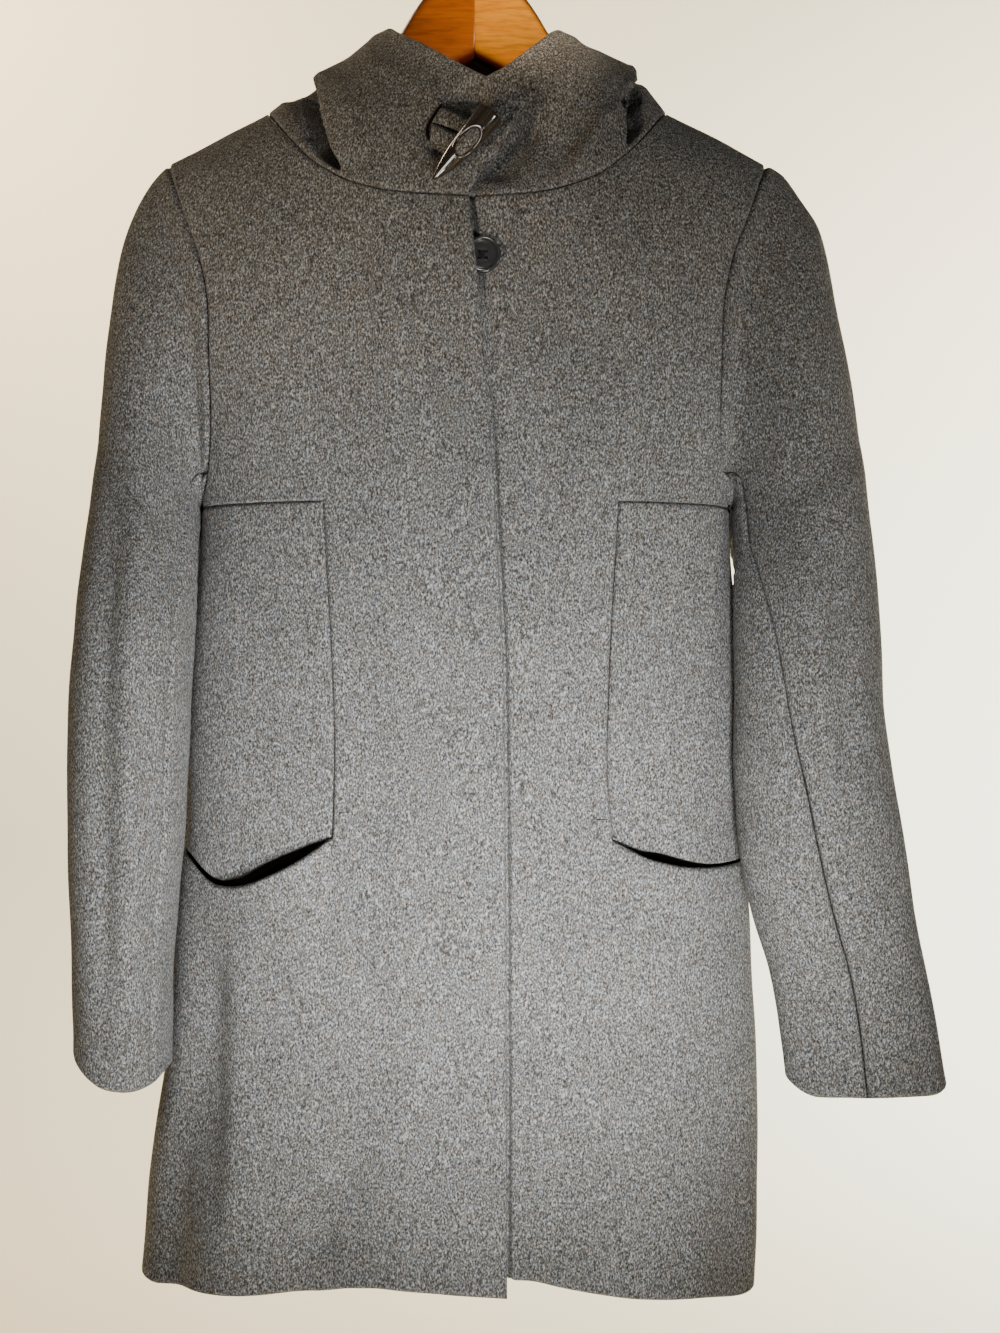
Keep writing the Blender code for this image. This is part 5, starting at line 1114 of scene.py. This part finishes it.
print("hanger", 2 * HANGER[-1][0] * 1000, "mm wide")

# %% [markdown]
# Stitches repeat along a line, so Geometry Nodes makes them: the line becomes a curve, is resampled at even
# distances and gets one short thread at each point, laid along the curve or across it. Across and close
# together they are a bar-tack, which keeps the end of a pocket mouth from tearing.

# %% Stitches
def stitch_tree():
    """Make the node tree that lays threads along the edges of a mesh."""
    tree = bpy.data.node_groups.new("stitches", "GeometryNodeTree")
    tree.interface.new_socket("Geometry", in_out="INPUT", socket_type="NodeSocketGeometry")
    for name in ("Spacing", "Length", "Radius", "Turn"):
        tree.interface.new_socket(name, in_out="INPUT", socket_type="NodeSocketFloat")
    tree.interface.new_socket("Material", in_out="INPUT", socket_type="NodeSocketMaterial")
    tree.interface.new_socket("Geometry", in_out="OUTPUT", socket_type="NodeSocketGeometry")
    made = {name: tree.nodes.new(kind) for name, kind in {
        "in": "NodeGroupInput", "curve": "GeometryNodeMeshToCurve", "points": "GeometryNodeResampleCurve",
        "tangent": "GeometryNodeInputTangent", "along": "FunctionNodeAlignRotationToVector",
        "turn": "FunctionNodeAxisAngleToRotation", "turned": "FunctionNodeRotateRotation",
        "ball": "GeometryNodeMeshUVSphere", "half": "ShaderNodeMath", "size": "ShaderNodeCombineXYZ",
        "thread": "GeometryNodeTransform", "lay": "GeometryNodeInstanceOnPoints",
        "real": "GeometryNodeRealizeInstances", "paint": "GeometryNodeSetMaterial",
        "out": "NodeGroupOutput"}.items()}
    made["points"].mode = "LENGTH"
    made["along"].axis = "X"
    made["turned"].rotation_space = "LOCAL"
    made["turn"].inputs["Axis"].default_value = (0.0, 0.0, 1.0)
    made["ball"].inputs["Segments"].default_value = 10
    made["ball"].inputs["Rings"].default_value = 8
    made["half"].operation = "MULTIPLY"
    made["half"].inputs[1].default_value = 0.5
    for start, end in (
            (("in", "Geometry"), ("curve", "Mesh")), (("curve", "Curve"), ("points", "Curve")),
            (("in", "Spacing"), ("points", "Length")), (("tangent", "Tangent"), ("along", "Vector")),
            (("in", "Turn"), ("turn", "Angle")), (("along", "Rotation"), ("turned", "Rotation")),
            (("turn", "Rotation"), ("turned", "Rotate By")), (("in", "Length"), ("half", 0)),
            (("half", "Value"), ("size", "X")), (("in", "Radius"), ("size", "Y")),
            (("in", "Radius"), ("size", "Z")), (("ball", "Mesh"), ("thread", "Geometry")),
            (("size", "Vector"), ("thread", "Scale")),
            (("points", "Curve"), ("lay", "Points")), (("thread", "Geometry"), ("lay", "Instance")),
            (("turned", "Rotation"), ("lay", "Rotation")), (("lay", "Instances"), ("real", "Geometry")),
            (("real", "Geometry"), ("paint", "Geometry")), (("in", "Material"), ("paint", "Material")),
            (("paint", "Geometry"), ("out", "Geometry"))):
        tree.links.new(made[start[0]].outputs[start[1]], made[end[0]].inputs[end[1]])
    return tree


stitches = stitch_tree()
print("stitch tree of", len(stitches.nodes), "nodes")

# %% [markdown]
# The tree works as a modifier on a plain line. Its result is then turned into a mesh of its own, so that the
# stitches can be exported like any other piece.

# %% Rows of stitches
def stitched(name, path, material, spacing, length, radius, turn=0.0):
    """Make a row of stitches along a path as a plain mesh."""
    line = bpy.data.meshes.new(name + "_line")
    line.from_pydata([tuple(p) for p in path], [(k, k + 1) for k in range(len(path) - 1)], [])
    holder = bpy.data.objects.new(name + "_line", line)
    collection.objects.link(holder)
    modifier = holder.modifiers.new("stitches", "NODES")
    modifier.node_group = stitches
    values = {"Spacing": spacing, "Length": length, "Radius": radius, "Turn": turn, "Material": material}
    for socket in stitches.interface.items_tree:
        if socket.in_out == "INPUT" and socket.name in values:
            modifier[socket.identifier] = values[socket.name]
    shaped = bpy.data.meshes.new_from_object(holder.evaluated_get(bpy.context.evaluated_depsgraph_get()))
    bpy.data.objects.remove(holder)
    shaped.name = name
    shaped.shade_smooth()
    pieces[name] = bpy.data.objects.new(name, shaped)
    collection.objects.link(pieces[name])
    print(name, len(shaped.polygons), "faces")


def on_front(side, x, z, lift):
    """Return points on a front for places given by x and z."""
    x, z = np.asarray(x, float), np.asarray(z, float)
    angle = angle_at(x, z)
    return skin(angle, z, front_lift(side, angle, z) + lift)[0]


# %% [markdown]
# Colours come from procedural materials on object coordinates, so no piece has to be unwrapped or painted. A
# few helpers keep the node trees short: a stretched noise, a colour ramp, a product of two colours and a
# bump.

# %% Material helpers
def material_of(name, colour, roughness, **more):
    """Make a material and return it with its tree and its shader; more sets further inputs by name."""
    material = bpy.data.materials.new(name)
    material.use_nodes = True
    shader = material.node_tree.nodes["Principled BSDF"]
    shader.inputs["Base Color"].default_value = (*colour, 1.0)
    shader.inputs["Roughness"].default_value = roughness
    for key, value in more.items():
        shader.inputs[key.replace("_", " ")].default_value = value
    return material, material.node_tree, shader


def noise(tree, source, scale, stretch=(1.0, 1.0, 1.0), detail=2.0, roughness=0.5, turn=(0.0, 0.0, 0.0)):
    """Add a noise texture on a stretched coordinate and return its value."""
    mapping = tree.nodes.new("ShaderNodeMapping")
    mapping.inputs["Scale"].default_value = stretch
    mapping.inputs["Rotation"].default_value = turn
    texture = tree.nodes.new("ShaderNodeTexNoise")
    texture.inputs["Scale"].default_value = scale
    texture.inputs["Detail"].default_value = detail
    texture.inputs["Roughness"].default_value = roughness
    tree.links.new(source, mapping.inputs["Vector"])
    tree.links.new(mapping.outputs["Vector"], texture.inputs["Vector"])
    return texture.outputs["Fac"]


def ramp(tree, value, *stops):
    """Add a colour ramp and return its colour; each stop is a place and a colour."""
    node = tree.nodes.new("ShaderNodeValToRGB")
    while len(node.color_ramp.elements) < len(stops):
        node.color_ramp.elements.new(0.5)
    for element, (place, colour) in zip(node.color_ramp.elements, stops):
        element.position = place
        element.color = (*colour, 1.0)
    tree.links.new(value, node.inputs["Fac"])
    return node.outputs["Color"]


def times(tree, first, second):
    """Multiply two colours."""
    node = tree.nodes.new("ShaderNodeMix")
    node.data_type = "RGBA"
    node.blend_type = "MULTIPLY"
    node.inputs["Factor"].default_value = 1.0
    tree.links.new(first, node.inputs["A"])
    tree.links.new(second, node.inputs["B"])
    return node.outputs["Result"]


def bump(tree, shader, value, strength, distance):
    """Let a value raise the surface of a material."""
    node = tree.nodes.new("ShaderNodeBump")
    node.inputs["Strength"].default_value = strength
    node.inputs["Distance"].default_value = distance
    tree.links.new(value, node.inputs["Height"])
    tree.links.new(node.outputs["Normal"], shader.inputs["Normal"])


def grey(level, warm=0.0):
    """Return a grey, warmer or cooler by a share."""
    return (level * (1 + warm), level, level * (1 - warm))


def object_place(tree):
    """Return the object's own coordinates."""
    return tree.nodes.new("ShaderNodeTexCoord").outputs["Object"]


# %% [markdown]
# The wool is a melange: short pale and dark fibres of one or two millimetres, which run down the cloth, with
# a slow change of warm and cool grey and a felted surface. Real fibres as hair would cost millions of faces,
# so a noise gives their colour and their height. The lining is plain and black. The same black material is
# also painted shade on the back of the pockets and along the loop's slit.

# %% Wool and lining
wool, tree, shader = material_of("heather wool", grey(0.25), 0.95, Sheen_Weight=0.08, Specular_IOR_Level=0.15)
place = object_place(tree)
fibre = noise(tree, place, 1030.0, (1.0, 1.0, 0.55), 3.0, 0.62, (0.0, 0.25, 0.0))
melange = ramp(tree, fibre, (0.333, grey(0.046, 0.04)), (0.452, grey(0.175, 0.03)), (0.548, grey(0.340)),
               (0.668, grey(0.86, -0.02)))
cast = ramp(tree, noise(tree, place, 170.0, detail=2.0), (0.36, grey(0.92, 0.05)), (0.64, grey(1.0, -0.03)))
cloud = ramp(tree, noise(tree, place, 16.0, detail=3.0), (0.30, grey(0.88)), (0.70, grey(1.0)))
tree.links.new(times(tree, times(tree, melange, cast), cloud), shader.inputs["Base Color"])
bump(tree, shader, fibre, 0.30, 0.0008)

# one black serves the real lining and the painted shade in the pocket backs and the loop's slit
lining_and_painted_shade, tree, shader = material_of("black lining and painted shade", grey(0.006), 0.5)
bump(tree, shader, noise(tree, object_place(tree), 1400.0), 0.1, 0.0003)

# %% [markdown]
# The toggle is polished horn with fine streaks under a clear coat, the button is black plastic and the hook
# is bright steel. What the eye sees in them is mostly the lamps, so their roughness matters more than their
# colour.

# %% Horn, plastic, thread and steel
horn, tree, shader = material_of("horn", (0.02, 0.014, 0.01), 0.20, Coat_Weight=1.0, Coat_Roughness=0.08,
                                 Coat_IOR=1.9)
grain = tree.nodes.new("ShaderNodeAttribute")
grain.attribute_name = "horn_place"
streak = noise(tree, grain.outputs["Vector"], 60.0, (0.12, 6.0, 6.0), 3.0, 0.6)
streaks = ramp(tree, streak, (0.38, (0.006, 0.005, 0.004)), (0.52, (0.022, 0.015, 0.010)),
               (0.70, (0.075, 0.048, 0.026)))
tree.links.new(streaks, shader.inputs["Base Color"])
bump(tree, shader, streak, 0.05, 0.0004)

plastic, tree, shader = material_of("black plastic", grey(0.036, -0.03), 0.16, IOR=1.8)
bump(tree, shader, noise(tree, object_place(tree), 500.0), 0.04, 0.0004)
thread, tree, shader = material_of("dark thread", grey(0.022), 0.7)
bump(tree, shader, noise(tree, object_place(tree), 3000.0, (1.0, 1.0, 3.0)), 0.3, 0.0002)

steel, tree, shader = material_of("hook steel", (0.70, 0.70, 0.70), 0.22, Metallic=1.0)
bump(tree, shader, noise(tree, object_place(tree), 300.0), 0.03, 0.0004)
print("materials:", ", ".join(made.name for made in (lining_and_painted_shade, plastic, thread, wool, steel, horn)))


# %% [markdown]
# The hanger is varnished wood with red-brown edges. Its right half gets darker colours than its left one:
# that is painted shade, for the half that faces away from the hanger's lamp. A stretched noise is its grain
# and a finer one its pores. The edges' stain follows the depth in the object's own coordinates, so no texture
# has to be painted.

# %% Wood of the hanger
STAIN = (0.10, 0.014, 0.006)
STAIN_DEPTHS = (-0.0088, -0.0062)           # y where the stain of the edges begins and where it is full


def hanger_wood(name, dark, pale, lean):
    """Make varnished wood whose grain leans along one half of the hanger; its narrow edges are red-brown."""
    material, tree, shader = material_of(name, pale, 0.28, Coat_Weight=0.6, Coat_Roughness=0.12)
    place = object_place(tree)
    rings = noise(tree, place, 55.0, (0.35, 1.0, 2.2), 4.0, 0.62, (0.0, lean, 0.0))
    pores = noise(tree, place, 420.0, (0.12, 1.0, 1.0), 2.0, 0.6, (0.0, lean, 0.0))
    grain = ramp(tree, rings, (0.30, dark), (0.62, pale))
    face = times(tree, grain, ramp(tree, pores, (0.34, grey(0.72)), (0.55, grey(1.0))))
    depth = tree.nodes.new("ShaderNodeSeparateXYZ")
    tree.links.new(place, depth.inputs["Vector"])
    edge = tree.nodes.new("ShaderNodeMapRange")
    edge.interpolation_type = "SMOOTHSTEP"
    edge.inputs["From Min"].default_value, edge.inputs["From Max"].default_value = STAIN_DEPTHS
    tree.links.new(depth.outputs["Y"], edge.inputs["Value"])
    stain = tree.nodes.new("ShaderNodeMix")
    stain.data_type = "RGBA"
    stain.inputs["B"].default_value = (*STAIN, 1.0)
    tree.links.new(edge.outputs["Result"], stain.inputs["Factor"])
    tree.links.new(face, stain.inputs["A"])
    tree.links.new(stain.outputs["Result"], shader.inputs["Base Color"])
    bump(tree, shader, pores, 0.08, 0.0003)
    return material


# the right half's darker colours are painted shade for the half turned away from the hanger's lamp
wood = {-1: hanger_wood("hanger wood right", (0.39, 0.090, 0.001), (0.53, 0.137, 0.002), radians(-35)),
        1: hanger_wood("hanger wood left", (0.95, 0.30, 0.006), (1.0, 0.42, 0.020), radians(35))}
print("woods:", wood[-1].name, "and", wood[1].name)

# %% [markdown]
# Each pocket mouth ends in a bar-tack, and a short row of stitches lies beside the loop. One node tree makes
# both. Only the spacing, the length and the turn of the threads differ.

# %% Bar-tacks at the pocket mouths and the row of stitches beside the loop
TACK_HALF, TACK_RISE, ROW_RISE = 0.0036, 0.0002, 0.0001
TACK_THREAD = (0.0003, 0.0009, 0.00022, pi / 2)     # spacing, length, radius, turn
ROW_THREAD = (0.0028, 0.0020, 0.00022, 0.0)
ROW_START, ROW_END = (-0.0308, -0.1712), (-0.0150, -0.1648)
TACKS = {-1: (-0.0842, -0.6365), 1: (0.0843, -0.6415)}
for side, (x, z) in TACKS.items():
    across = np.linspace(x - TACK_HALF, x + TACK_HALF, 12)
    path = on_front(side, across, 0.0 * across + z, TACK_RISE)
    stitched("bar_tack_" + SIDE_NAME[side], path, thread, *TACK_THREAD)
row = [flap_spot(place, ROW_RISE) for place in np.linspace(ROW_START, ROW_END, 12)]
stitched("loop_stitches", row, thread, *ROW_THREAD)

# %% [markdown]
# Solidify gives the inside of a cloth the second material, so a piece of wool with a lining just gets two.
# The streaks of the horn run along the toggle, which lies aslant. An attribute tells each of its points how
# far along and across the toggle it is.

# %% Every piece gets its material
horn_place = pieces["toggle_horn"].data.attributes.new("horn_place", "FLOAT_VECTOR", "POINT")
toggle_axes = np.stack([toggle_way, toggle_across, toggle_out], axis=-1)
from_top = (horn_points.reshape(-1, 3) - toggle_top) @ toggle_axes
horn_place.data.foreach_set("vector", from_top.astype(np.float32).ravel())
LOOKS = {  # material and finish of the record; all other pieces are wool
    "hood_lining_cloth": (lining_and_painted_shade, "lining"), "loop_slit": (lining_and_painted_shade, "lining"),
    "toggle_horn": (horn, "horn"),
    "button_disc": (plastic, "button_black"), "button_thread": (thread, "button_black"),
    "hanger_wood_right_shaped": (wood[-1], "hanger_wood"), "hanger_wood_left_shaped": (wood[1], "hanger_wood"),
}
WOOL_INSIDE = ("hood_right", "hood_left", "toggle_loop")
for name, piece in pieces.items():
    if not piece.data.materials:
        piece.data.materials.append(LOOKS.get(name, (wool,))[0])
    if name.startswith(WOOL_INSIDE) or name.endswith("_cloth"):
        piece.data.materials.append(wool if name.startswith(WOOL_INSIDE) else lining_and_painted_shade)
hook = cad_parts["hanger_hook"]
hook.data.materials.clear()
hook.data.materials.append(steel)
hook.data.shade_smooth()
print(len(pieces), "pieces painted")

# %% [markdown]
# A pale cyclorama stands well behind the coat: a floor that curves up into a wall. The picture shows a wall
# close behind the coat. The wall of the stage is further away, so that the coat throws no shadow on it.

# %% Stage
FLOOR_Z, WALL_Y, BEND = -1.42, 1.90, 0.55
STAGE_FRONT, STAGE_TOP, STAGE_HALF = -3.0, 2.0, 4.0
bend = np.linspace(0.0, pi / 2, 24)
outline = [(STAGE_FRONT, FLOOR_Z)]
outline += [(WALL_Y - BEND + BEND * sin(t), FLOOR_Z + BEND - BEND * cos(t)) for t in bend]
outline += [(WALL_Y, STAGE_TOP)]
vertices = [(x, y, z) for y, z in outline for x in (-STAGE_HALF, STAGE_HALF)]
data = bpy.data.meshes.new("stage")
data.from_pydata(vertices, [], [(2 * k, 2 * k + 1, 2 * k + 3, 2 * k + 2) for k in range(len(outline) - 1)])
data.shade_smooth()
stage = bpy.data.objects.new("stage", data)
collection.objects.link(stage)
paper, tree, shader = material_of("pale paper", (0.80, 0.725, 0.55), 0.95)
data.materials.append(paper)
print("stage of", len(data.polygons), "faces")


# %% [markdown]
# The coat is lit by a soft key lamp low in front of it, as in the picture, where the skirt is bright and the
# hood dim. A warm lamp from the low left lets the hood's folds throw their shadows to the right, and a weak
# one from the right clears the left sleeve. Two white cards give the toggle its streak and the button the
# arcs on its rim; light linking keeps them off the wool. One lamp brightens the hanger and three light the
# wall alone.

# %% Light
def aimed(name, kind, place, target, energy, colour):
    """Add a lamp that looks at a target and return its settings."""
    light = bpy.data.lights.new(name, kind)
    light.energy, light.color = energy, colour
    holder = bpy.data.objects.new(name, light)
    holder.location = place
    holder.rotation_euler = (Vector(target) - Vector(place)).to_track_quat("-Z", "Y").to_euler()
    collection.objects.link(holder)
    return light


COOL, WARM, WHITE, BLUE = (0.975, 0.985, 0.975), (1.0, 0.80, 0.55), (1.0, 0.95, 0.86), (0.70, 0.88, 1.0)
SPOTS = (  # name, place, target, watts, colour, cone in degrees, softness of its rim, radius of the lamp
    ("low key", (0.20, -0.85, -1.02), (-0.02, -0.07, -0.66), 60.0, COOL, 48, 1.0, 0.16),
    ("hood light", (-0.80, -0.80, -0.80), (0.02, -0.05, -0.07), 16.0, WARM, 29, 1.0, 0.04),
    ("side light", (1.25, -0.95, -0.50), (0.25, -0.05, -0.30), 15.0, WHITE, 27, 1.0, 0.12),
    ("hanger light", (0.55, -0.8, 0.05), (0.004, 0.0, -0.095), 42.0, WARM, 8, 0.7, 0.04))
CARDS = (  # name, place, watts, width and height, the piece it lights
    ("toggle card", (-0.053, -0.93, -0.50), 5.0, (0.80, 0.36), "toggle_horn"),
    ("button card", (0.10, -0.62, 0.32), 2.0, (0.22, 0.22), "button_disc"))
WALL_LAMPS = (  # name, place, target, watts, colour
    ("wall above", (-1.6, 0.7, 1.2), (-0.5, 1.9, 0.1), 62.0, WARM),
    ("wall beside", (1.8, 0.7, 0.5), (0.7, 1.9, -0.1), 48.0, WHITE),
    ("wall below", (1.6, 0.7, -0.9), (0.3, 1.9, -0.9), 46.0, BLUE))
KEY_STRETCH = (1.14, 0.92, 1.0)     # the key's pool of light is wider than high
CARD_TARGET, CARD_TURN = (-0.01, -0.08, -0.22), radians(40)
WALL_LAMP_SIZE, WALL_LAMP_SPREAD, WORLD_STRENGTH = 0.8, radians(120), 0.04
for name, place, target, energy, colour, cone, rim, radius in SPOTS:
    spot = aimed(name, "SPOT", place, target, energy, colour)
    spot.spot_size, spot.spot_blend, spot.shadow_soft_size = radians(cone), rim, radius
bpy.data.objects["low key"].scale = KEY_STRETCH
bpy.data.objects["hood light"].visible_glossy = False
for name, place, energy, size, polished in CARDS:
    card = aimed(name, "AREA", place, CARD_TARGET, energy, WHITE)
    card.shape, (card.size, card.size_y) = "ELLIPSE", size
    holder = bpy.data.objects[name]
    holder.rotation_euler.rotate_axis("Z", CARD_TURN)
    lit = bpy.data.collections.new(name)
    lit.objects.link(bpy.data.objects[polished])
    holder.visible_camera, holder.light_linking.receiver_collection = False, lit
for name, place, target, energy, colour in WALL_LAMPS:
    wall_lamp = aimed(name, "AREA", place, target, energy, colour)
    wall_lamp.shape, wall_lamp.size, wall_lamp.spread = "DISK", WALL_LAMP_SIZE, WALL_LAMP_SPREAD
world = bpy.data.worlds.new("world")
bpy.context.scene.world = world
world.use_nodes = True
world.node_tree.nodes["Background"].inputs["Color"].default_value = (*WHITE, 1.0)
world.node_tree.nodes["Background"].inputs["Strength"].default_value = WORLD_STRENGTH

# %% [markdown]
# Last, each piece hangs from the root, and the CAD node it stands for is hidden.

# %% Pieces and the CAD nodes they stand for
STANDS_FOR = {"toggle_horn": "toggle", "toggle_loop_upper": "toggle_loop", "button_disc": "button",
              "hanger_wood_right_shaped": "hanger_wood_right", "hanger_wood_left_shaped": "hanger_wood_left"}
for name, piece in pieces.items():
    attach(piece, "root")
    node = STANDS_FOR.get(name, name.replace("_cloth", ""))
    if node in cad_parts:
        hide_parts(node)
